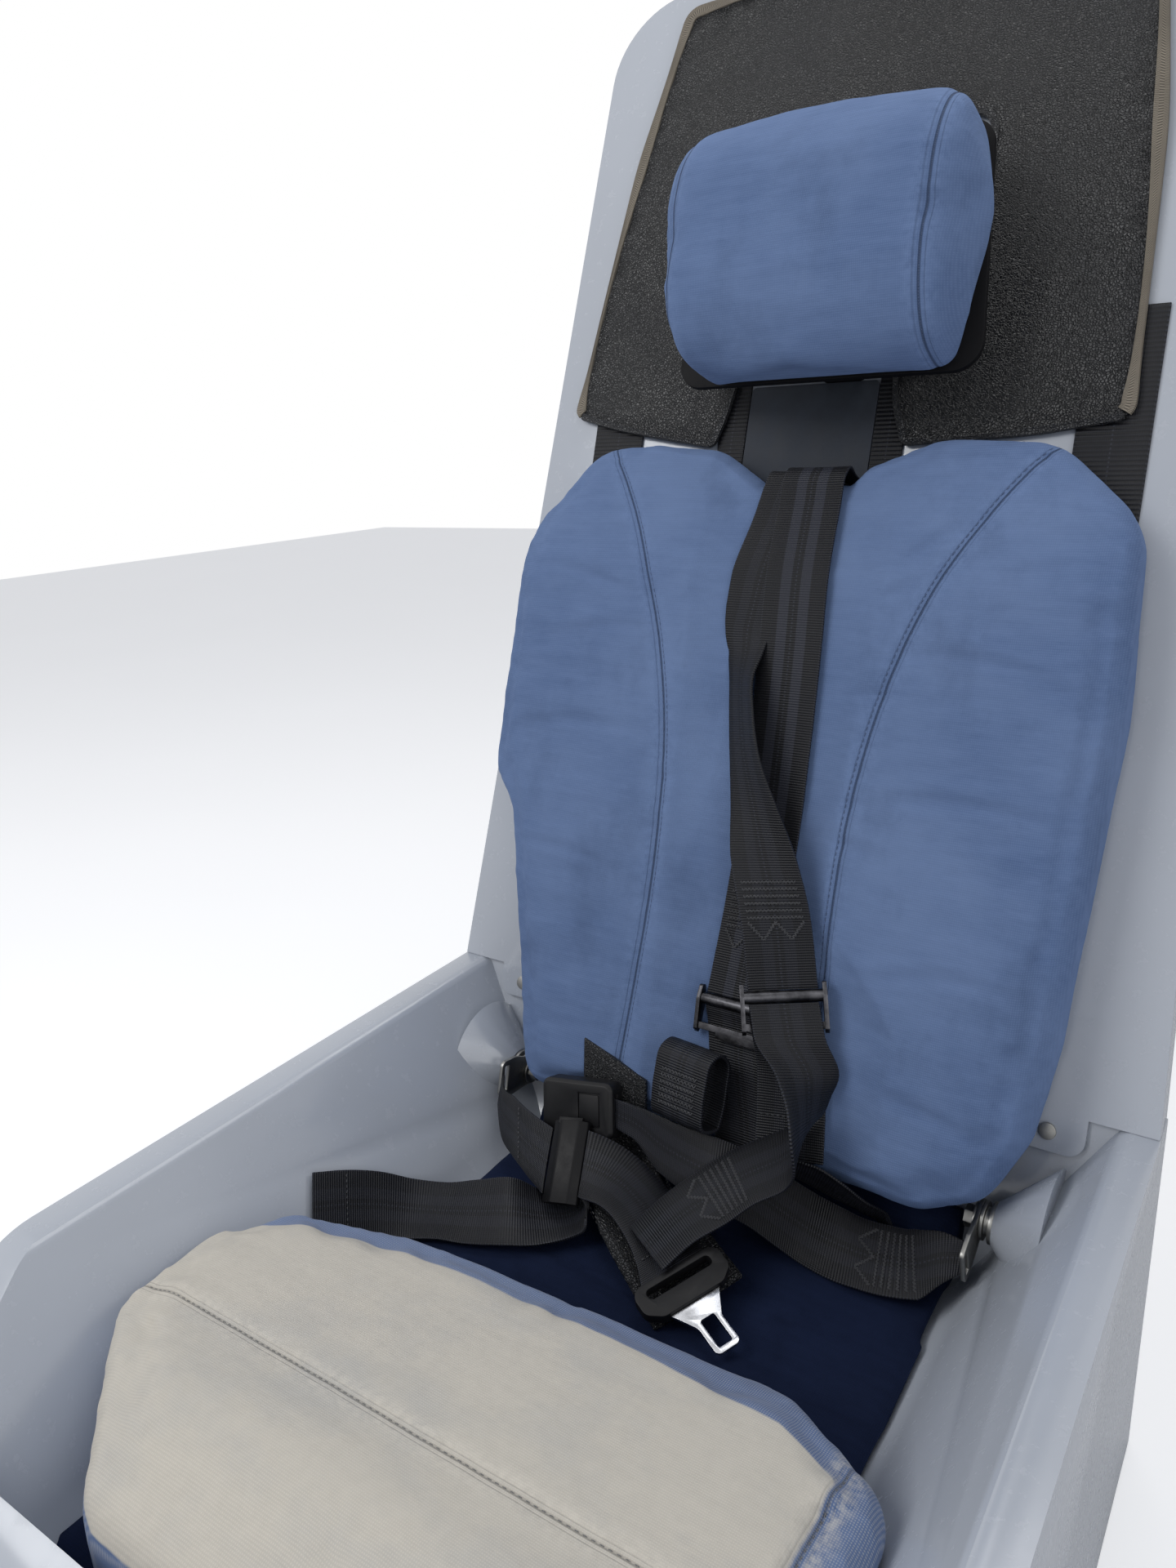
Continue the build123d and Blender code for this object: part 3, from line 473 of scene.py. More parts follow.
def merged_copy(node, name):
    """A copy of a CAD node's mesh, its loose triangles joined into clean faces."""
    piece = bpy.data.objects.new(name, NODES[node].data.copy())
    bpy.context.scene.collection.objects.link(piece)
    piece.data.materials.clear()
    alone(piece)
    bpy.ops.mesh.customdata_custom_splitnormals_clear()
    bpy.ops.object.mode_set(mode="EDIT")
    bpy.ops.mesh.select_all(action="SELECT")
    bpy.ops.mesh.remove_doubles(threshold=0.00001)
    bpy.ops.mesh.dissolve_limited(angle_limit=math.radians(0.6))
    bpy.ops.mesh.normals_make_consistent(inside=False)
    bpy.ops.object.mode_set(mode="OBJECT")
    return piece


# ---------------------------------------------------------------- stitches

def stitch_shape():
    """One stitch, a short thread with rounded ends along X, as vertices and faces."""
    alone()
    bpy.ops.mesh.primitive_uv_sphere_add(segments=6, ring_count=4, radius=1.0, rotation=(0, math.pi / 2, 0))
    made = bpy.context.object
    bpy.ops.object.transform_apply(location=False, rotation=True, scale=False)
    points = [vertex.co.copy() for vertex in made.data.vertices]
    faces = [tuple(face.vertices) for face in made.data.polygons]
    bpy.data.objects.remove(made, do_unlink=True)
    return points, faces


# Every sewing thread's colour, and the CAD finish that it stands for
THREADS = {
    "blue_thread": ((0.050, 0.085, 0.175), "blue_suede"),
    "grey_thread": ((0.17, 0.17, 0.17), "blue_suede"),
    "belt_thread": ((0.024, 0.025, 0.030), "black_webbing"),
    "black_thread": ((0.035, 0.036, 0.040), "black_leather"),
}


def stitched(name, seams, thick, yarn, body="seat"):
    """Every stitch runs from one place to the next and stands up along its normal."""
    shape, shape_faces = stitch_shape()
    points, faces = [], []
    for start, end, normal in seams:
        along = (end - start)
        half = along.length / 2
        if half < 1e-5:
            continue
        along.normalize()
        side = normal.cross(along).normalized()
        up = along.cross(side)
        turn = Matrix((along, side, up)).transposed()
        first = len(points)
        middle = (start + end) / 2 + up * thick * 0.2
        for p in shape:
            points.append(middle + turn @ Vector((p.x * half, p.y * thick, p.z * thick)))
        faces.extend(tuple(first + index for index in face) for face in shape_faces)
    mesh = bpy.data.meshes.new(name)
    mesh.from_pydata(points, [], faces)
    piece = bpy.data.objects.new(name, mesh)
    bpy.context.scene.collection.objects.link(piece)
    smooth(piece, 60)
    colour, slot = THREADS[yarn]
    complete(piece, thread(yarn, colour), slot, body=body)
    return piece


def on_surface(piece, start, direction):
    """Where a line meets the piece, with the normal there."""
    hit, place, normal, _ = piece.ray_cast(start, direction.normalized(), distance=0.5)
    if not hit:
        return None
    return place, normal


def seam_stitches(hits, share=0.72):
    """Stitches between neighbouring hits on a surface, each a share of the pitch long."""
    rows = []
    for one, two in zip(hits, hits[1:]):
        if one and two and (two[0] - one[0]).length < 0.012:
            step = two[0] - one[0]
            rows.append((one[0], one[0] + step * share, one[1]))
    return rows


# ---------------------------------------------------------------- cushions

def stuff(node, name, cap, voxel=None, edge=0.02, shrink=0.004, pressure=4.0, hold=0.0):
    """A cushion cut to its CAD solid, with rounded edges, then swollen by its filling as cloth. Hold is how much
    of the way back to the solid's surface a place goes that the rounding drew in."""
    piece = merged_copy(node, name)
    voxel = voxel or sizes().cushion_voxel
    modify(piece, "REMESH", mode="VOXEL", voxel_size=voxel)
    steps = max(1, int((edge / voxel) ** 2 * 1.2))
    modify(piece, "SMOOTH", factor=0.5, iterations=min(steps, 48))
    modify(piece, "DISPLACE", strength=-shrink, mid_level=0.0)
    rest = [vertex.co.copy() for vertex in piece.data.vertices]
    alone(piece)
    cloth = piece.modifiers.new("Cloth", "CLOTH")
    cloth.settings.use_pressure = True
    cloth.settings.uniform_pressure_force = pressure
    cloth.settings.effector_weights.gravity = 0
    cloth.settings.quality = 4
    cloth.settings.tension_stiffness = 12
    cloth.settings.compression_stiffness = 12
    cloth.settings.bending_stiffness = 0.6
    cloth.point_cache.frame_start = 1
    cloth.point_cache.frame_end = sizes().frames
    for number in range(1, sizes().frames + 1):
        bpy.context.scene.frame_set(number)
    bpy.ops.object.modifier_apply(modifier="Cloth")
    bpy.context.scene.frame_set(1)
    for vertex, start in zip(piece.data.vertices, rest):
        moved = vertex.co - start
        if moved.length > cap:
            vertex.co = start + moved * (cap / moved.length)
    if hold:
        solid = merged_copy(node, name + "_solid")
        for vertex in piece.data.vertices:
            found, place, normal, _ = solid.closest_point_on_mesh(vertex.co)
            if found and (vertex.co - place).dot(normal) < 0:
                vertex.co = vertex.co.lerp(place, hold)
        bpy.data.objects.remove(solid, do_unlink=True)
    modify(piece, "SMOOTH", factor=0.5, iterations=3)
    return piece


def wrinkle(place, size, depth, seed, stretch_by=(1, 1, 1)):
    """A soft crease pattern, the same at every run."""
    where = Vector((place.x * stretch_by[0], place.y * stretch_by[1], place.z * stretch_by[2])) / size
    fine = noise.noise(where * 2.3 + Vector((0, seed, 0)))
    return depth * (noise.noise(where + Vector((seed, 0, 0))) + 0.45 * fine)


def reshape(piece, move):
    """Moves every point by what the function gives for it and its normal."""
    for vertex, offset in [(v, move(v.co, v.normal)) for v in piece.data.vertices]:
        vertex.co += offset
    piece.data.update()


def against(piece, node, way, gap=0.0004):
    """Keeps the piece inside its CAD solid on the side that lies against its neighbour."""
    solid = merged_copy(node, node + "_solid")
    for vertex in piece.data.vertices:
        found, place, normal, _ = solid.closest_point_on_mesh(vertex.co)
        if found and normal.dot(way) > 0.35 and (vertex.co - place).dot(normal) > -gap:
            vertex.co = place - normal * gap
    bpy.data.objects.remove(solid, do_unlink=True)
    piece.data.update()


def upholster(piece, node, cloth, slot, way, body="seat"):
    """Keeps a shaped cushion off its neighbour, and gives it its cloth and its body in place of its CAD node."""
    against(piece, node, way)
    smooth(piece, 80)
    complete(piece, cloth, slot, node, body=body)


def held(value):
    """The value, held between nought and one."""
    return min(1.0, max(0.0, value))


def bell(distance, width):
    return math.exp(-(distance / width) ** 2)


def seam_across(v):
    """How far from the middle the back cushion's seams run, for a place up the slope in millimetres."""
    up = v / 1000 - SEAM_WAIST
    return 1000 * (SEAM_SIDE + SEAM_BEND * up ** 2 + SEAM_FLARE * up ** 3)


def between(value, table):
    """Straight-line reading of a short table of places and values."""
    for (x0, y0), (x1, y1) in zip(table, table[1:]):
        if value <= x1:
            return y0 + (y1 - y0) * max(0.0, (value - x0) / (x1 - x0))
    return table[-1][1]


# Level of the cushion's face behind the shoulder straps, up the slope and forward
UNDER_STRAPS = [(0, 60.6), (450, 60.6), (485, 59.6), (530, 49.4), (556, 44.6), (580, 40.5), (620, 40.0)]


# Soft creases of the back cushion: middle across and up the slope, turn in degrees, half length, depth
CREASES = [
    (-170, 478, -14, 46, 1.5), (-148, 436, 6, 40, 1.1), (-62, 462, 4, 26, 1.0), (-172, 356, 4, 52, 1.2),
    (-46, 320, -6, 30, 0.9), (-165, 250, -4, 50, 0.9), (112, 512, 38, 34, 1.5), (84, 470, 30, 24, 1.1),
    (158, 428, -8, 46, 1.3), (70, 400, 4, 26, 1.0), (150, 330, 2, 60, 1.3), (76, 290, -4, 24, 0.9),
    (160, 210, 5, 46, 1.0), (150, 120, -8, 50, 0.9),
]


def crease(across, up, turn, half):
    """How much of a crease's depth is felt at a place, from the crease's middle."""
    angle = math.radians(turn)
    along = across * math.cos(angle) + up * math.sin(angle)
    aside = up * math.cos(angle) - across * math.sin(angle) + 0.004 * along ** 2 / max(half / 30, 1)
    return bell(aside, 5.5) * bell(along, half) - 0.45 * bell(aside - 9, 8) * bell(along, half)


# The back cushion's sewn rows either side of a seam, and the seam's ends up the slope
STITCH_ROWS = (-3.4, 0.5)
SEAM_LOW = 52.0
SEAM_HIGH = 586.0
# How loose the cloth lies outside the seams, left and right
SLACK = (1.5, 0.8)


class SEAT_OT_back_cushion(bpy.types.Operator):
    """Back cushion with two lobes, two curved double seams and their stitches"""
    bl_idname = "seat.back_cushion"
    bl_label = "Back cushion"

    def execute(self, context):
        piece = stuff("back_cushion", "back_cushion_fabric", sizes().cushion_swell, edge=0.014, shrink=0.0008,
                      hold=0.9)
        modify(piece, "SUBSURF", levels=1, render_levels=1)
        depth = sizes().seam_depth * 1000

        def shape(place, normal):
            u, v, _ = to_back(place)
            front = max(0.0, normal.dot(FORWARD))
            away = abs(abs(u) - seam_across(v))
            pull = depth * bell(away, 4.0) + 3.0 * bell(away, 24)
            slack = held((abs(u) - seam_across(v)) / 60) * SLACK[u >= 0]
            folds = slack * noise.noise(Vector((u / 150, v / 24, 5.0)))
            folds += wrinkle(place, 0.08, 1.0, 3.0, (0.6, 1, 1))
            folds -= sum(1.7 * deep * crease(u - at_u, v - at_v, turn, half)
                         for at_u, at_v, turn, half, deep in CREASES)
            gathers = 0.6 * bell(away - 8, 8) * noise.noise(Vector((u / 60, v / 9, 2.0)))
            tuck = (1 - front) * wrinkle(place, 0.05, 0.5, 5.0, (1, 1, 0.6))
            return (FORWARD * (-pull * front) + normal * ((folds + gathers) * front + tuck - 0.2)) / 1000

        reshape(piece, shape)

        def under(place, normal):
            u, v, n = to_back(place)
            lower = held((232 - v) / 70)
            low, high = -44 + 10 * lower, 52 + 52 * lower
            outside = max(low - u, u - high, 0.0)
            limit = between(v, UNDER_STRAPS) + 12 * min(1.0, outside / 42) ** 1.5
            return FORWARD * min(0.0, limit - n) / 1000

        reshape(piece, under)
        modify(piece, "SMOOTH", factor=0.3, iterations=1)
        cloth = suede("back_suede", colours().suede, colours().suede_worn, seams=back_seams)
        upholster(piece, "back_cushion", cloth, "blue_suede", -FORWARD)
        rows = []
        pitch = sizes().stitch_pitch * 1000
        for side in (-1, 1):
            for row in STITCH_ROWS:
                hits, v = [], SEAM_LOW
                while v < SEAM_HIGH:
                    start = from_back(side * (seam_across(v) + row), v, 120)
                    hits.append(on_surface(piece, start, -FORWARD))
                    v += pitch
                rows += seam_stitches(hits)
        stitched("back_cushion_stitches", rows, 0.0003, "blue_thread")
        return {"FINISHED"}


# Where the sun has stopped fading the thigh cushion's top: across, and forward of the bolt line
FADE_EDGE = [(-230, 296), (-190, 286), (-140, 267), (-40, 259), (70, 255), (165, 260), (210, 276), (240, 300)]


# A level above the thigh cushion from which its seams are found, and the pitch of their stitches
THIGH_ABOVE = (PAD_TOP + 92) / 1000 + 0.1
THIGH_PITCH = 0.0048


class SEAT_OT_thigh_cushion(bpy.types.Operator):
    """Thigh cushion with its cross seam, its end seam and its sun-faded top"""
    bl_idname = "seat.thigh_cushion"
    bl_label = "Thigh cushion"

    def execute(self, context):
        piece = stuff("thigh_cushion", "thigh_cushion_fabric", sizes().cushion_swell, edge=0.012, shrink=0.0006,
                      hold=0.95)
        modify(piece, "SUBSURF", levels=1, render_levels=1)

        def shape(place, normal):
            upward = max(0.0, normal.z)
            across = (place.y - THIGH_SEAM) * 1000
            pull = sizes().seam_depth * 1000 * (0.35 * bell(across, 4) + 0.5 * bell(across, 26)) * upward
            pull += 1.2 * bell((place.x - THIGH_END) * 1000, 3.5) * (normal.z > 0.1)
            lean = Vector((place.x, place.y + place.x * 0.35, place.z))
            folds = wrinkle(lean, 0.06, 1.1, 2.0, (1, 0.3, 1)) + wrinkle(lean, 0.024, 0.35, 7.0, (1, 0.35, 1))
            return (Vector((0, 0, -pull)) + normal * (folds - 0.3)) / 1000

        reshape(piece, shape)
        colour = colours()
        cloth = suede("faded_suede", colour.suede, colour.suede_worn, colour.faded, thigh_seams, 0.0034, "Y", 0.12)
        upholster(piece, "thigh_cushion", cloth, "blue_suede", DOWNWARD)
        fade = piece.data.attributes.new("fade", "FLOAT", "POINT")
        for vertex, value in zip(piece.data.vertices, fade.data):
            x = vertex.co.x * 1000
            rear = BOLT_Y - between(x, FADE_EDGE)
            upward = max(0.0, (vertex.normal.z - 0.22) / 0.20)
            inside = held((rear - vertex.co.y * 1000) / 7)
            end = held((THIGH_END - vertex.co.x) / 0.006)
            value.value = min(1.0, upward) * inside * (0.2 + 0.8 * end)
        rows = []
        seams = (((-0.215, THIGH_SEAM), 0.225), ((THIGH_END, (BOLT_Y - 486) / 1000), (BOLT_Y - 262) / 1000))
        for axis, (first, last) in enumerate(seams):
            hits, place = [], [*first, THIGH_ABOVE]
            while place[axis] < last:
                hits.append(on_surface(piece, Vector(place), DOWNWARD))
                place[axis] += THIGH_PITCH
            rows += seam_stitches(hits, 0.6)
        stitched("thigh_cushion_stitches", rows, 0.00032, "grey_thread")
        return {"FINISHED"}


class SEAT_OT_base_pad(bpy.types.Operator):
    """Thin dark pad on the pan's floor, turned up at the rear"""
    bl_idname = "seat.base_pad"
    bl_label = "Base pad"

    def execute(self, context):
        piece = stuff("base_pad", "base_pad_fabric", 0.003, voxel=0.006, edge=0.006, shrink=0.001, pressure=1.5)
        modify(piece, "SUBSURF", levels=1, render_levels=1)

        def shape(place, normal):
            folds = wrinkle(place, 0.07, 1.0, 4.0) + wrinkle(place, 0.025, 0.3, 8.0)
            pressed = 1.6 * bell((place.y * 1000 + 62) + place.x * 90, 5)
            return normal * (folds - pressed * max(0.0, normal.z) - 0.5) / 1000

        reshape(piece, shape)
        navy = colours().navy
        worn = tuple(1.7 * part for part in navy)
        cloth = suede("navy_cloth", navy, worn, weft_along="Y", sheen=0.0, gloss=0.05)
        upholster(piece, "base_pad", cloth, "navy_suede", Vector((0, 0.4, -1)).normalized())
        return {"FINISHED"}


# The middle of the headrest's section, and how far its seams run round it either way
HEADREST_CENTRE = (720, 80)
SEAM_TURN = math.radians(78)
SEAM_STEPS = 120


class SEAT_OT_headrest(bpy.types.Operator):
    """Headrest, round in front, with a seam near each end"""
    bl_idname = "seat.headrest"
    bl_label = "Headrest"

    def execute(self, context):
        piece = stuff("headrest_pad", "headrest_fabric", 0.006, edge=0.018, shrink=0.002)
        modify(piece, "SUBSURF", levels=1, render_levels=1)
        seam = HEADREST_SEAM * 1000

        def shape(place, normal):
            u, v, n = to_back(place)
            end = max(0.0, (abs(u) - 84) / 38) ** 2.2 * (1.25 if u < 0 else 1.0)
            rounded_n = 50 + (n - 50) * (1 - min(0.6, 0.33 * end))
            rounded_v = 716 + (v - 716) * (1 - min(0.3, 0.14 * end) * held((n - 52) / 45))
            around = math.sqrt(max(0.0, 1 - normal.x ** 2))
            pull = (1.3 * bell(abs(u) - seam, 3.2) + 1.0 * bell(abs(u) - seam, 12)) * around * (n > 52)
            folds = wrinkle(place, 0.08, 0.5, 6.0)
            return from_back(u, rounded_v, rounded_n) - place + normal * (folds - pull - 0.2) / 1000

        reshape(piece, shape)
        cloth = suede("headrest_suede", colours().suede, colours().suede_worn, seams=headrest_seams)
        upholster(piece, "headrest_pad", cloth, "blue_suede", -FORWARD, "headrest")
        rows = []
        for side in (-1, 1):
            hits = []
            for step in range(SEAM_STEPS + 1):
                angle = SEAM_TURN * (2 * step / SEAM_STEPS - 1)
                aim = UP_SLOPE * math.sin(angle) + FORWARD * math.cos(angle)
                start = from_back(side * seam, *HEADREST_CENTRE) + aim * 0.3
                hits.append(on_surface(piece, start, -aim))
            rows += seam_stitches(hits, 0.7)
        stitched("headrest_stitches", rows, 0.00035, "blue_thread", "headrest")
        return {"FINISHED"}


# ---------------------------------------------------------------- webbing

class Route:
    """A strap's smooth course through its stations: place, direction across and width, with its length."""

    def __init__(self, stations, backrest, step=4.0):
        stations = [tuple(row) for row in stations]
        if backrest:
            places = [from_back(*row[:3]) * 1000 for row in stations]
            acrosses = [Vector((row[3], 0, 0)) + UP_SLOPE * row[4] + FORWARD * row[5] for row in stations]
        else:
            places = [from_seat(*row[:3]) * 1000 for row in stations]
            acrosses = [Vector(row[3:6]) for row in stations]
        acrosses = [across.normalized() for across in acrosses]
        widths = [row[6] for row in stations]
        spans = [(b - a).length for a, b in zip(places, places[1:])]
        self.places, self.acrosses, self.widths, self.at_length = [], [], [], []
        slopes_p = self.slopes(places, spans)
        slopes_a = self.slopes(acrosses, spans)
        for i, span in enumerate(spans):
            count = max(2, int(round(span / step)))
            for j in range(count + (i == len(spans) - 1)):
                t = j / count
                self.places.append(self.between(places, slopes_p, i, span, t))
                self.acrosses.append(self.between(acrosses, slopes_a, i, span, t).normalized())
                self.widths.append(widths[i] + (widths[i + 1] - widths[i]) * t)
        length = 0.0
        for i, place in enumerate(self.places):
            if i:
                length += (place - self.places[i - 1]).length
            self.at_length.append(length)
        self.length = length
        self.ups = []
        last = len(self.places) - 1
        for i in range(last + 1):
            along = self.places[min(i + 1, last)] - self.places[max(i - 1, 0)]
            self.ups.append(along.cross(self.acrosses[i]).normalized())

    @staticmethod
    def slopes(values, spans):
        made = [(values[1] - values[0]) / spans[0]]
        for i in range(1, len(values) - 1):
            before = (values[i] - values[i - 1]) / spans[i - 1]
            after = (values[i + 1] - values[i]) / spans[i]
            made.append((before * spans[i] + after * spans[i - 1]) / (spans[i] + spans[i - 1]))
        made.append((values[-1] - values[-2]) / spans[-1])
        return made

    @staticmethod
    def between(values, slopes, i, span, t):
        a, b = 2 * t ** 3 - 3 * t ** 2 + 1, t ** 3 - 2 * t ** 2 + t
        c, d = -2 * t ** 3 + 3 * t ** 2, t ** 3 - t ** 2
        return values[i] * a + slopes[i] * (b * span) + values[i + 1] * c + slopes[i + 1] * (d * span)

    def at(self, across, length, lift=0.0):
        """The place in metres, and its normal, at millimetres across, along and above the strap's middle."""
        length = min(max(length, 0.0), self.length)
        i = 0
        while i < len(self.at_length) - 2 and self.at_length[i + 1] < length:
            i += 1
        gap = self.at_length[i + 1] - self.at_length[i]
        t = (length - self.at_length[i]) / gap
        place = self.places[i].lerp(self.places[i + 1], t)
        sideways = self.acrosses[i].lerp(self.acrosses[i + 1], t)
        up = self.ups[i].lerp(self.ups[i + 1], t).normalized()
        return (place + sideways * across + up * lift) / 1000, up


def lay(name, route, thick, curl=0.6, ripple=0.35, seed=1.0, across=8, profile=None):
    """A flat woven grid, cut to the strap's length, laid along its route and given its thickness."""
    rows = len(route.places)
    alone()
    bpy.ops.mesh.primitive_grid_add(x_subdivisions=across, y_subdivisions=rows - 1, size=1.0, calc_uvs=True)
    piece = bpy.context.object
    piece.name = name
    points = piece.data.vertices
    if len(points) != (across + 1) * rows:
        raise RuntimeError(f"{name}: the grid has {len(points)} points")
    flat = {}
    for row in range(rows):
        for column in range(across + 1):
            share = 2 * column / across - 1
            side = share * route.widths[row] / 2
            wave = noise.noise(Vector((route.at_length[row] / 34, share * 0.8, seed * 7.3)))
            lift = curl * (share ** 2 - 0.4) + ripple * wave
            if profile:
                lift += profile(share, route.at_length[row])
            place = route.places[row] + route.acrosses[row] * side + route.ups[row] * lift
            index = row * (across + 1) + column
            points[index].co = place / 1000
            flat[index] = (side / 1000, route.at_length[row] / 1000)
    layer = piece.data.uv_layers[0]
    layer.name = "UVMap"
    for loop in piece.data.loops:
        layer.data[loop.index].uv = flat[loop.vertex_index]
    modify(piece, "SOLIDIFY", thickness=thick, offset=0.0, use_even_offset=False)
    modify(piece, "BEVEL", width=thick * 0.28, segments=2, limit_method="ANGLE", angle_limit=math.radians(55))
    alone(piece)
    bpy.ops.object.mode_set(mode="EDIT")
    bpy.ops.mesh.select_all(action="SELECT")
    bpy.ops.mesh.normals_make_consistent(inside=False)
    bpy.ops.object.mode_set(mode="OBJECT")
    smooth(piece, 50)
    return piece


def zigzag(route, u0, u1, s0, s1, lift, step=3.4, tall=1.3):
    """A row of bar stitches in zigzag between two places on a strap."""
    count = max(2, int(math.hypot(u1 - u0, s1 - s0) / step))
    length = math.hypot(u1 - u0, s1 - s0)
    du, ds = (u1 - u0) / length, (s1 - s0) / length
    rows = []
    for i in range(count):
        for flip in (1, -1):
            a = (i + (0 if flip > 0 else 0.5)) / count * length
            b = a + length / count / 2
            start, normal = route.at(u0 + du * a + ds * tall * flip, s0 + ds * a - du * tall * flip, lift)
            end, normal = route.at(u0 + du * b - ds * tall * flip, s0 + ds * b + du * tall * flip, lift)
            rows.append((start, end, normal * (1 if lift > 0 else -1)))
    return rows


def bar_block(route, s0, s1, lift, half=20.0):
    """The sewn block of a strap's joint: close rows of bar stitches, and a W after them."""
    rows = []
    ranks = 6
    low, high = s0 + (s1 - s0) * 0.62, s1
    for rank in range(ranks):
        at = s0 + (low - s0) * rank / (ranks - 1)
        rows += zigzag(route, -half, half, at, at, lift, step=2.6, tall=1.1)
    ends = (low + 3, high, low + 3, high, low + 3)
    for at in range(4):
        left = -half + half * at / 2
        rows += zigzag(route, left, left + half / 2, ends[at], ends[at + 1], lift, step=2.4)
    return rows


def plain_row(route, u0, u1, s0, s1, lift, pitch=3.8):
    """One straight row of stitches on a strap."""
    length = math.hypot(u1 - u0, s1 - s0)
    count = max(1, int(length / pitch))
    rows = []
    for i in range(count):
        a, b = i / count, (i + 0.7) / count
        start, normal = route.at(u0 + (u1 - u0) * a, s0 + (s1 - s0) * a, lift)
        end, normal = route.at(u0 + (u1 - u0) * b, s0 + (s1 - s0) * b, lift)
        rows.append((start, end, normal * (1 if lift > 0 else -1)))
    return rows


BAR_UP = 558.2
BAR_BACK = -20.0
INNER_TURN = 6.4
OUTER_TURN = 9.4
NARROW_WEB = 25.0
PAD_WIDTH = 74.0


def flat(u, v, n, width=WEB):
    """A station where the strap lies straight across the backrest."""
    return u, v, n, 1, 0, 0, width


def loop_round_bar(across, radius):
    """Stations of a strap's end as it passes behind the bar and comes forward over it."""
    turns = [math.radians(180 - 45 * step) for step in range(5)]
    return [flat(across, BAR_UP + radius * math.cos(turn), BAR_BACK - radius * math.sin(turn)) for turn in turns]


def hanger(across, high, width):
    """A strap that the back cushion hangs from, straight up the panel behind it."""
    return [flat(across, level, -1.2, width) for level in (500, high)]


# Columns: the strap's place, the direction across it, its width. Across, up the slope, forward of the backrest
ON_BACK = {
    "shoulder_strap_right": [
        *loop_round_bar(4, OUTER_TURN), flat(4.5, BAR_UP + OUTER_TURN, 1),
        flat(6.5, BAR_UP + OUTER_TURN, 22), flat(9, 567.8, 43.5),
        flat(9, 560, 49.2), flat(10, 540, 53.4), flat(13, 485, 64.5),
        flat(16, 424, 65.2), flat(18, 363, 65.2), flat(19, 301, 65.2),
        flat(18, 240, 65.2), flat(14, 161.9, 66.5)],
    "shoulder_strap_left": [
        *loop_round_bar(-4, INNER_TURN), flat(-4.5, BAR_UP + INNER_TURN, 1),
        flat(-5, BAR_UP + INNER_TURN, 22), flat(-6, 565, 43),
        flat(-7, 556, 46.4), flat(-10, 530, 51.4), flat(-17, 485, 61.6),
        flat(-20, 458, 61.9, 46), flat(-22, 440, 61.9, 38), (-20, 424, 64.2, 0.96, 0, 0.28, 36),
        (-17, 404, 72, 0.82, 0, 0.57, 36), (-9, 376, 80, 0.8, 0, 0.6, 38),
        (2, 340, 85, 0.84, 0.05, 0.54, 40), (14, 308, 85.5, 0.93, 0.08, 0.32, 46),
        (26, 274, 85, 0.98, 0.16, -0.05, WEB), (42, 233, 85, 0.91, 0.18, -0.36, WEB),
        (54.8, 180.4, 81.1, 0.885, 0.201, -0.423, WEB)],
    "lower_strap_left": [
        flat(14, 152.2, 66.5), flat(15, 144, 62.9), flat(22, 110, 62.0),
        flat(31, 76, 62.0), flat(36, 52, 63.0)],
    "strap_tail": [
        (56.6, 170.9, 80.3, 0.885, 0.201, -0.423, WEB), (58.4, 159.6, 78.8, 0.885, 0.201, -0.423, WEB),
        (61.7, 146, 76.5, 0.91, 0.18, -0.36, WEB), (65, 128, 71.5, 0.95, 0.1, -0.25, WEB),
        (69, 96, 69.8, 0.96, 0.1, -0.2, WEB), (73, 58, 69.8, 0.96, 0.12, -0.2, WEB)],
    "cushion_hanger_left": hanger(-205, 690, WEB),
    "cushion_hanger_right": hanger(205, 690, WEB),
    "narrow_hanger_left": hanger(-92, 703.7, NARROW_WEB),
    "narrow_hanger_right": hanger(43.5, 703.7, NARROW_WEB),
}
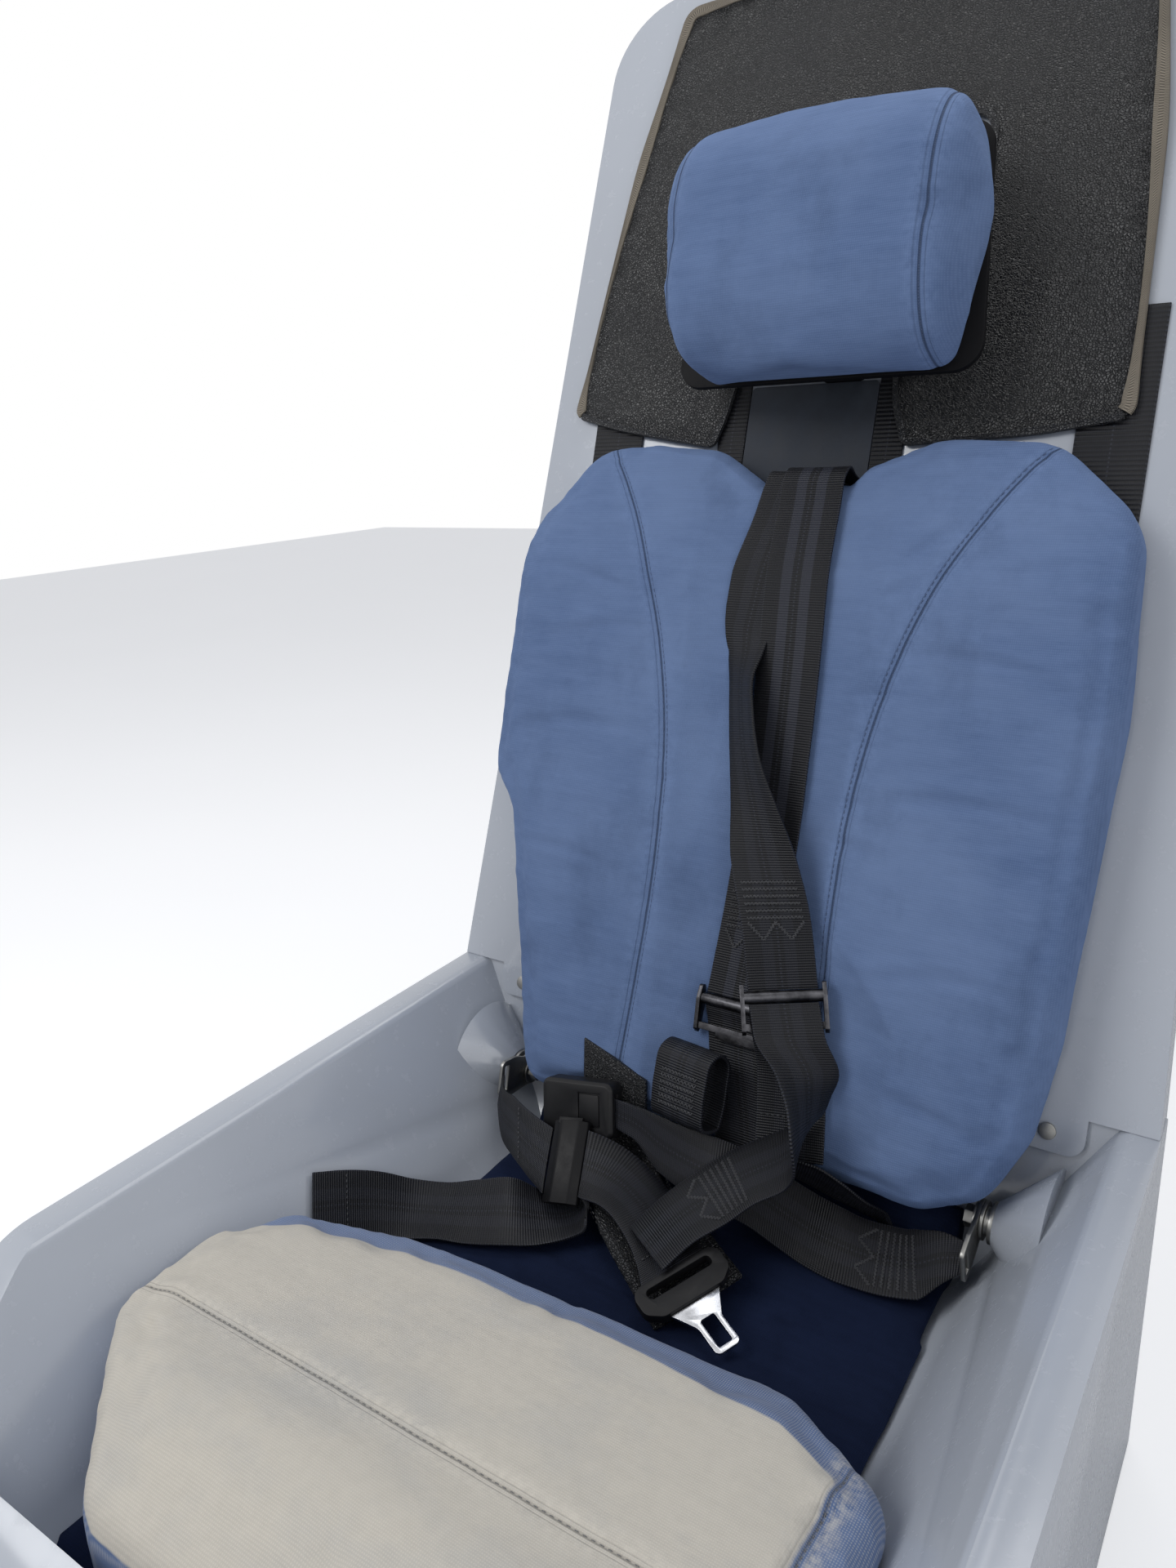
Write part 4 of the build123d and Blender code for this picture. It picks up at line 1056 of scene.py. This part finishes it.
# The same from the bolt line and the base pad: right, back, up
ON_SEAT = {
    "lower_strap_right": [
        (57.75, -23.5, 189.1, 0.885, 0.465, 0.054, WEB), (62.5, -29.1, 179, 0.885, 0.465, 0.054, WEB),
        (67.5, -34.6, 168.5, 0.88, 0.47, 0.03, WEB), (84.8, -42.6, 147.8, 0.62, 0.76, -0.2, WEB),
        (89.5, -52.0, 136.7, 0.3, 0.91, -0.28, WEB), (93, -64, 119.4, 0.02, 0.99, -0.1, WEB),
        (89, -66, 105, -0.25, 0.95, 0.18, WEB), (78, -65, 92, -0.45, 0.85, 0.27, WEB),
        (49, -77.5, 72.5, -0.71, 0.67, 0.2, WEB), (31, -90.5, 57, -0.81, 0.56, 0.16, WEB),
        (13.0, -108, 43.0, -0.84, 0.54, 0.06, WEB), (2.6, -133.5, 32.5, -0.85, 0.52, 0, WEB)],
    "lap_belt_right": [
        (195.7, -31, 33, 0, -0.5, -0.87, 22), (183, -34, 30, 0.2, -0.7, -0.68, 34),
        (167, -41.8, 23.5, 0.34, -0.83, -0.45, WEB), (147, -45.5, 20.5, 0.17, -0.85, -0.5, WEB),
        (125, -47.5, 20.0, 0.18, -0.82, -0.54, WEB), (106, -48, 22, 0.05, -0.68, -0.73, WEB),
        (87, -48, 26, 0.04, -0.65, -0.76, WEB), (69, -53, 37, 0.1, -0.62, -0.78, WEB),
        (46, -61, 53, 0.12, -0.59, -0.8, WEB), (24, -69, 62, 0.12, -0.55, -0.83, WEB),
        (2, -69, 65, 0.1, -0.45, -0.89, 46), (-24, -66, 69, 0.05, -0.4, -0.91, 40),
        (-47, -61.5, 75.5, 0.12, -0.36, -0.92, 26), (-68.5, -60.8, 78, 0.174, -0.317, -0.932, 22)],
    "lap_belt_left": [
        (-195.7, -45, 50, 0, -0.4, -0.92, 26), (-184, -59, 40, 0.3, -0.5, -0.81, 42),
        (-159.3, -74.5, 42, 0.4, -0.6, -0.69, WEB), (-130, -90, 43.5, 0.33, -0.6, -0.72, WEB),
        (-105.9, -100.6, 45.4, 0.23, -0.68, -0.69, WEB)],
    "lap_belt_inner": [
        (-74.7, -96.7, 51.7, 0.23, -0.68, -0.69, WEB), (-61, -93.8, 48.3, 0.0, -0.87, -0.5, WEB),
        (-46, -92, 43, -0.22, -0.94, -0.26, WEB), (-28, -95, 36.0, -0.4, -0.9, -0.06, WEB),
        (-10, -103, 30.5, -0.44, -0.89, -0.08, WEB), (9, -117.4, 27, -0.47, -0.87, -0.15, WEB),
        (25.4, -136.4, 26.9, -0.472, -0.863, -0.181, WEB)],
    "lap_belt_tail": [
        (-75.1, -93.3, 48.2, 0.23, -0.68, -0.69, WEB), (-70, -93, 42, 0.27, -0.75, -0.6, WEB),
        (-67, -101, 34, 0.4, -0.83, -0.35, WEB), (-68, -108, 24.5, 0.55, -0.8, -0.15, WEB),
        (-77, -115, 16, 0.66, -0.75, 0.0, WEB), (-92, -127, 17, 0.66, -0.72, -0.22, WEB),
        (-111, -144.5, 26, 0.42, -0.68, -0.6, WEB), (-139, -154, 21, 0.34, -0.8, -0.5, WEB),
        (-166, -160, 15, 0.45, -0.82, -0.3, WEB), (-189, -172, 16, 0.55, -0.72, -0.4, WEB),
        (-203, -190, 26, 0.5, -0.6, -0.62, WEB), (-212.5, -212, 37.5, 0.473, -0.541, -0.694, WEB),
        (-221.5, -238, 48.5, 0.473, -0.541, -0.694, WEB)],
    "strap_arch": [
        (75, -51, 75, -0.29, 0.5, -0.82, 30), (93, -48.2, 71.2, -0.36, 0.46, -0.81, 36),
        (108, -43.8, 63, -0.41, 0.49, -0.77, 36), (125, -31, 46, -0.36, 0.59, -0.73, 34),
        (136, -20, 33, -0.3, 0.5, -0.8, 26), (143, -19, 22, 0, 0.3, -0.95, 16)],
}
BELT_PAD = [
        (48, -139, 11, 0.47, 0.87, 0.165, PAD_WIDTH), (12, -114.4, 12.5, 0.5, 0.86, 0.07, PAD_WIDTH),
        (-9, -102, 17, 0.45, 0.89, 0.05, PAD_WIDTH), (-28, -92, 22, 0.46, 0.88, 0.03, 70),
        (-43, -83, 26, 0.6, 0.78, 0.08, 58), (-63, -59, 37, 0.9, 0.4, 0.1, 50),
        (-72, -51, 57, 0.98, 0.03, -0.05, 58), (-78, -44.5, 78, 0.97, -0.06, -0.18, 62),
        (-83, -34.2, 108, 0.95, -0.09, -0.29, 64)]


class SEAT_OT_webbing(bpy.types.Operator):
    """Every strap of the harness, laid flat along its route, with its sewn blocks and hems"""
    bl_idname = "seat.webbing"
    bl_label = "Harness webbing"

    def execute(self, context):
        thick = sizes().web_thick
        top = thick * 1000 / 2 + 0.15
        routes = {}
        for number, (node, stations) in enumerate([*ON_BACK.items(), *ON_SEAT.items()]):
            route = Route(stations, node in ON_BACK)
            routes[node] = route
            plain = "hanger" in node
            piece = lay(node + "_web", route, thick, seed=number + 1.0, curl=0.0 if plain else 0.5,
                        ripple=0.0 if plain else 0.35)
            if plain:
                cloth = webbing("hanger_webbing", 0.0, 0.0034)
            elif node == "shoulder_strap_right":
                cloth = webbing("striped_webbing", 0.85)
            else:
                cloth = webbing()
            complete(piece, cloth, "black_webbing", node)
        rows = []
        right, left = routes["shoulder_strap_right"], routes["shoulder_strap_left"]
        rows += bar_block(right, right.length - 80, right.length - 38, top)
        rows += bar_block(left, left.length - 78, left.length - 36, top)
        lap = routes["lap_belt_right"]
        for sign in (1, -1):
            rows += bar_block(lap, 34, 74, top * sign)
            rows += plain_row(routes["strap_tail"], -22, 22, 84, 84, top * sign)
            rows += plain_row(routes["lap_belt_left"], -21, 21, 62, 62, top * sign)
            end = routes["lap_belt_tail"]
            rows += plain_row(end, -22, 22, end.length - 28, end.length - 28, top * sign)
            low = routes["lower_strap_right"]
            rows += bar_block(low, low.length - 84, low.length - 46, top * sign)
            inner = routes["lap_belt_inner"]
            rows += plain_row(inner, -22, 22, inner.length - 22, inner.length - 22, top * sign)
        stitched("webbing_stitches", rows, 0.00062, "belt_thread")
        return {"FINISHED"}


class SEAT_OT_sewn_loop(bpy.types.Operator):
    """Standing loop at the left strap's end, folded back and sewn through"""
    bl_idname = "seat.sewn_loop"
    bl_label = "Sewn loop"

    def execute(self, context):
        turn = Matrix.Rotation(math.radians(-13), 3, "Y")
        ring = [(-9, 66.5), (-12, 80), (-12.5, 100), (-11, 116), (0, 123), (10, 118), (13.2, 100), (13.2, 84),
                (9, 68), (0, 65.8), (-9, 66.5)]
        stations = []
        for n, v in ring:
            local = turn @ Vector((0, v, n))
            stations.append((local.x - 6, local.y, local.z + 84, *(turn @ Vector((1, 0, 0))), WEB))
        route = Route(stations, True, step=2.5)
        piece = lay("sewn_loop_web", route, 0.0028, curl=0.0, ripple=0.2, seed=31.0)
        complete(piece, webbing(), "black_webbing", "sewn_loop")
        rows = []
        start = 0.62 * route.length
        for sign in (1, -1):
            for step in range(6):
                rows += zigzag(route, -17, 17, start + step * 5, start + step * 5, sign * 1.6)
        stitched("sewn_loop_stitches", rows, 0.00065, "belt_thread")
        return {"FINISHED"}


class SEAT_OT_belt_pad(bpy.types.Operator):
    """Leather pad under the belt's tongue, with its edge seam and the sewn strap keeper"""
    bl_idname = "seat.belt_pad"
    bl_label = "Belt pad"

    def execute(self, context):
        route = Route(BELT_PAD, False)

        def crown(share, length):
            return 0.7 * (1 - share ** 6)

        piece = lay("tongue_pad_leather", route, 0.0046, curl=0.0, ripple=0.5, seed=17.0, across=14, profile=crown)
        complete(piece, leather(), "black_leather", "tongue_pad")
        rows = []
        for sign in (1, -1):
            lift = 3.3 if sign > 0 else -1.9
            for side in (-1, 1):
                for start in range(0, int(route.length) - 16, 12):
                    half = min(route.widths) / 2 if start > 120 else 37
                    edge = side * (half - 5)
                    rows += plain_row(route, edge, edge, start + 6, start + 18, lift)
            rows += plain_row(route, -28, 28, 7, 7, lift)
            rows += plain_row(route, -24, 24, route.length - 7, route.length - 7, lift)
        stitched("tongue_pad_stitches", rows, 0.0005, "black_thread")
        return {"FINISHED"}


# ---------------------------------------------------------------- leather cover

# Forward of the backrest, and how far the tape stands out past the leather's edge
COVER_LEVEL = 1.4
TAPE_LEVEL = 3.3
TAPE_OUT = 1.2
# The outline's corners: across, up the slope, radius
COVER_EDGE = [
    (-252, 632, 10), (-106, 600, 8), (-92, 655, 4), (-134, 668, 10), (-134, 846, 20), (92, 846, 20),
    (88, 660, 10), (42, 655, 4), (56, 597, 8), (218, 610, 14), (190, 985, 18), (-190, 985, 18),
]


def rounded(corners, pieces=6):
    """The closed outline with its corners rounded, as places in millimetres."""
    path = []
    count = len(corners)
    for i, (x, y, radius) in enumerate(corners):
        here = Vector((x, y))
        before = (Vector(corners[i - 1][:2]) - here)
        after = (Vector(corners[(i + 1) % count][:2]) - here)
        cut = radius / math.tan(before.angle(after) / 2)
        cut = min(cut, before.length * 0.45, after.length * 0.45)
        a, b = here + before.normalized() * cut, here + after.normalized() * cut
        for j in range(pieces + 1):
            t = j / pieces
            path.append(a.lerp(here, t).lerp(here.lerp(b, t), t))
    return path


class SEAT_OT_leather_cover(bpy.types.Operator):
    """Grained cover over the panel's top, with its bound edges and hems"""
    bl_idname = "seat.leather_cover"
    bl_label = "Leather cover"

    def execute(self, context):
        alone()
        bpy.ops.mesh.primitive_grid_add(x_subdivisions=84, y_subdivisions=66, size=1.0)
        piece = bpy.context.object
        piece.name = "cover_leather"
        for vertex in piece.data.vertices:
            x, y = vertex.co.x, vertex.co.y
            vertex.co = from_back(x * 520 - 16, 790 + y * 420, COVER_LEVEL)
        modify(piece, "SOLIDIFY", thickness=0.0018, offset=0.0)
        cutter = merged_copy("leather_cover", "cover_cutter")
        for vertex in cutter.data.vertices:
            u, v, n = to_back(vertex.co)
            vertex.co = from_back(u, v, -8 if n < COVER_LEVEL else 12)
        cutter.data.update()
        modify(piece, "BOOLEAN", operation="INTERSECT", object=cutter, solver="EXACT")
        bpy.data.objects.remove(cutter, do_unlink=True)

        path = rounded(COVER_EDGE)
        ring = list(zip(path, path[1:] + path[:1]))
        edge_places = [a.lerp(b, step / 8) for a, b in ring for step in range(8)]

        def drape(place, normal):
            u, v, _ = to_back(place)
            aside = min(math.hypot(u - p.x, v - p.y) for p in edge_places)
            wave = wrinkle(place, 0.09, 1.3, 12.0) + 0.6 * wrinkle(place, 0.035, 0.6, 15.0)
            return FORWARD * (wave * min(1.0, aside / 40) + 0.9 + 1.2 * bell(aside - 14, 7)) / 1000

        reshape(piece, drape)
        smooth(piece, 40)
        complete(piece, leather(), "black_leather", "leather_cover")
        start = next(i for i, p in enumerate(path) if self.inner(p))
        path = path[start:] + path[:start]
        split = next(i for i, p in enumerate(path) if not self.inner(p))
        inner, outer = path[:split], path[split:]
        bound = []
        kinds = (("outer", outer, 10.0, (-6.6, -9.6), binding_tape()),
                 ("inner", inner, 6.0, (-5.2,), leather("hem_leather", 1.7)))
        for word, line, width, sewn, material in kinds:
            stations = []
            for i, p in enumerate(line):
                along = line[min(i + 1, len(line) - 1)] - line[max(i - 1, 0)]
                out = Vector((along.y, -along.x)).normalized()
                middle = p - out * (width / 2 - TAPE_OUT)
                stations.append((middle.x, middle.y, TAPE_LEVEL, out.x, out.y, 0, width))
            kept = [stations[0]]
            for row in stations[1:]:
                if math.hypot(row[0] - kept[-1][0], row[1] - kept[-1][1]) > 1.5:
                    kept.append(row)
            route = Route(kept, True, step=6.0)
            tape = lay(f"cover_binding_{word}", route, 0.0028, curl=-0.5, ripple=0.15, seed=41.0, across=4)
            complete(tape, material, "black_leather")
            rows = []
            for offset in sewn:
                rows += plain_row_along(route, offset, 0.6)
            bound += [tape, stitched(f"cover_stitches_{word}", rows, 0.0005, "black_thread")]
        return {"FINISHED"}

    @staticmethod
    def inner(p):
        """Whether a place of the outline has the leather hem, and not the woven binding."""
        left, right = -252 + 0.176 * (p.y - 632), 218 - 0.075 * (p.y - 610)
        return p.y < 900 and left + 5 < p.x < right - 5


def plain_row_along(route, across, lift, pitch=4.2):
    """A row of stitches along a strap, at one place across it."""
    rows, at = [], 2.0
    while at < route.length - pitch:
        start, normal = route.at(across, at, lift)
        end, normal = route.at(across, at + pitch * 0.7, lift)
        rows.append((start, end, normal))
        at += pitch
    return rows


# ---------------------------------------------------------------- rigid pieces

class SEAT_OT_mouldings(bpy.types.Operator):
    """Pan and rear panel with softened edges and their gelcoat"""
    bl_idname = "seat.mouldings"
    bl_label = "Mouldings"

    def execute(self, context):
        for node, width in (("seat_pan", 0.0016), ("rear_panel", 0.0018)):
            piece = merged_copy(node, node + "_gelcoat")
            modify(piece, "BEVEL", width=width, segments=3, limit_method="ANGLE", angle_limit=math.radians(28))
            smooth(piece, 52 if node == "seat_pan" else 30)
            complete(piece, gelcoat(), "grey_moulding", node)
        return {"FINISHED"}


class SEAT_OT_hardware(bpy.types.Operator):
    """Buckle, tongue, slides, bolts and the headrest's carrier with softened edges"""
    bl_idname = "seat.hardware"
    bl_label = "Hardware"

    def execute(self, context):
        plastic = hard("dull_plastic", (0.006, 0.006, 0.007), 0.44, scale=90, gloss=0.26)
        steel = hard("blackened_steel", (0.045, 0.045, 0.050), 0.30, metallic=1.0, worn=(0.10, 0.10, 0.11),
                     scale=120)
        zinc = hard("zinc_plate", (0.36, 0.36, 0.35), 0.36, metallic=1.0, worn=(0.27, 0.265, 0.25), scale=140)
        bright = hard("bright_steel", (0.50, 0.51, 0.54), 0.2, metallic=1.0, scale=70, streaks=(1, 0.15, 1))
        lacquer = hard("black_lacquer", (0.005, 0.005, 0.006), 0.40, scale=110, gloss=0.16)
        board = hard("matt_board", (0.004, 0.004, 0.005), 0.55, scale=40, gloss=0.14)
        # The notch board's dark slate grey is partly painted shade, the colour of the shadowed gap under the
        # headrest
        notch_shade = hard("slate_board_shade", (0.034, 0.040, 0.052), 0.6, scale=50, gloss=0.3)
        finishes = {
            "buckle": (plastic, "black_plastic", 0.0006), "tongue_frame": (plastic, "black_plastic", 0.0009),
            "lap_adjuster": (lacquer, "black_plastic", 0.0006), "tongue_plate": (bright, "tongue_steel", 0.0004),
            "adjuster_left": (steel, "black_steel", 0.0004), "adjuster_right": (steel, "black_steel", 0.0004),
            "anchor_bolt_left": (zinc, "zinc_steel", 0.0004), "anchor_bolt_right": (zinc, "zinc_steel", 0.0004),
            "anchor_bracket_left": (zinc, "zinc_steel", 0.0005), "panel_screws": (zinc, "zinc_steel", 0.0004),
            "anchor_bracket_right": (zinc, "zinc_steel", 0.0005), "shoulder_anchor": (zinc, "zinc_steel", 0.0003),
            "hanger_plate": (zinc, "zinc_steel", 0.0003), "notch_board": (notch_shade, "black_board", 0.0004),
            "headrest_rail": (board, "black_board", 0.0006), "headrest_carrier": (board, "black_board", 0.0009),
        }
        for node, (material, slot, width) in finishes.items():
            piece = merged_copy(node, node + "_finished")
            modify(piece, "BEVEL", width=width, segments=2, limit_method="ANGLE", angle_limit=math.radians(28))
            smooth(piece, 34)
            body = "headrest" if node == "headrest_carrier" else "seat"
            complete(piece, material, slot, node, body=body)
        return {"FINISHED"}


# ---------------------------------------------------------------- stage

# Name, place, size and power
LAMPS = (
    ("key", (-1.3, -1.9, 2.4), 1.5, 36), ("fill", (1.9, -1.3, 1.3), 1.8, 12), ("top", (0.1, 0.9, 2.6), 1.4, 15),
)
# Where the photograph was taken from: place, axes and focal length for a frame 36 mm high
CAMERA_PLACE = (0.36223, -0.61116, 0.75882)
CAMERA_RIGHT = Vector((0.82934603, 0.55680721, -0.04637778))
CAMERA_DOWN = Vector((0.13016638, -0.27326377, -0.95309161))
CAMERA_AHEAD = Vector((-0.54336165, 0.78440592, -0.2991078))
CAMERA_LENS = 25.98


class SEAT_OT_stage(bpy.types.Operator):
    """Pale floor, soft lamps, white surroundings and the camera"""
    bl_idname = "seat.stage"
    bl_label = "Stage"

    def execute(self, context):
        alone()
        bpy.ops.mesh.primitive_plane_add(size=14, location=(0, 0, -0.0005))
        floor = context.object
        floor.name = "floor"
        bpy.ops.object.transform_apply(location=True, rotation=True, scale=True)
        made, tree = shade("pale_floor")
        where = put(tree, "TexCoord", {}).outputs["Object"]
        shown = mixed(tree, cloud(tree, where, 2.0, 2.0), (0.80, 0.80, 0.80, 1), (0.84, 0.84, 0.84, 1))
        seen = put(tree, "LightPath", {}).outputs["Is Camera Ray"]
        close(tree, Base_Color=shown, Roughness=0.9, Specular_IOR_Level=0.1, Emission_Color=(1, 1, 1, 1),
              Emission_Strength=times(tree, seen, 0.42))
        floor.data.materials.append(made)
        for name, place, size, power in LAMPS:
            light = bpy.data.lights.new(name, "AREA")
            light.size = size
            light.energy = power
            lamp = bpy.data.objects.new(name, light)
            context.scene.collection.objects.link(lamp)
            lamp.location = place
            aim = Vector((0.0, -0.1, 0.5)) - Vector(place)
            lamp.rotation_euler = aim.to_track_quat("-Z", "Y").to_euler()
        world = bpy.data.worlds.new("studio")
        world.use_nodes = True
        tree = world.node_tree
        tree.nodes.clear()
        path = put(tree, "LightPath", {})
        mirrored = greater(tree, path.outputs["Is Glossy Ray"], path.outputs["Is Transmission Ray"])
        seen = greater(tree, path.outputs["Is Camera Ray"], mirrored)
        lit = put(tree, "Background", {"Color": (0.86, 0.9, 1.0, 1), "Strength": 0.36})
        white = put(tree, "Background", {"Color": (1, 1, 1, 1), "Strength": 1.0})
        both = put(tree, "MixShader", {0: seen, 1: lit.outputs[0], 2: white.outputs[0]})
        put(tree, "OutputWorld", {"Surface": both.outputs[0]})
        context.scene.world = world
        context.scene.view_settings.view_transform = "Standard"
        camera = bpy.data.cameras.new("camera")
        camera.sensor_fit = "VERTICAL"
        camera.sensor_height = 36.0
        camera.lens = CAMERA_LENS
        camera.clip_start = 0.02
        eye = bpy.data.objects.new("camera", camera)
        context.scene.collection.objects.link(eye)
        turn = Matrix((CAMERA_RIGHT, -CAMERA_DOWN, -CAMERA_AHEAD)).transposed().to_4x4()
        eye.matrix_world = Matrix.Translation(CAMERA_PLACE) @ turn
        context.scene.camera = eye
        return {"FINISHED"}


class SEAT_PT_panel(bpy.types.Panel):
    bl_label = "Aircraft seat"
    bl_idname = "SEAT_PT_panel"
    bl_space_type = "VIEW_3D"
    bl_region_type = "UI"
    bl_category = "Seat"

    def draw(self, context):
        for group in (context.scene.seat_sizes, context.scene.seat_colours):
            box = self.layout.box()
            for name in group.__annotations__:
                box.prop(group, name)
        for step in STEPS:
            self.layout.operator(step.bl_idname)


STEPS = (
    SEAT_OT_stage, SEAT_OT_mouldings, SEAT_OT_hardware, SEAT_OT_webbing, SEAT_OT_sewn_loop, SEAT_OT_belt_pad,
    SEAT_OT_leather_cover, SEAT_OT_base_pad, SEAT_OT_thigh_cushion, SEAT_OT_headrest, SEAT_OT_back_cushion,
)
CLASSES = (SeatSizes, SeatColours, *STEPS, SEAT_PT_panel)


def register():
    for each in CLASSES:
        bpy.utils.register_class(each)
    bpy.types.Scene.seat_sizes = PointerProperty(type=SeatSizes)
    bpy.types.Scene.seat_colours = PointerProperty(type=SeatColours)


def unregister():
    del bpy.types.Scene.seat_sizes
    del bpy.types.Scene.seat_colours
    for each in reversed(CLASSES):
        bpy.utils.unregister_class(each)


def main():
    register()
    for step in STEPS:
        group, name = step.bl_idname.split(".")
        getattr(getattr(bpy.ops, group), name)()
    alone()


if __name__ == "__main__":
    main()
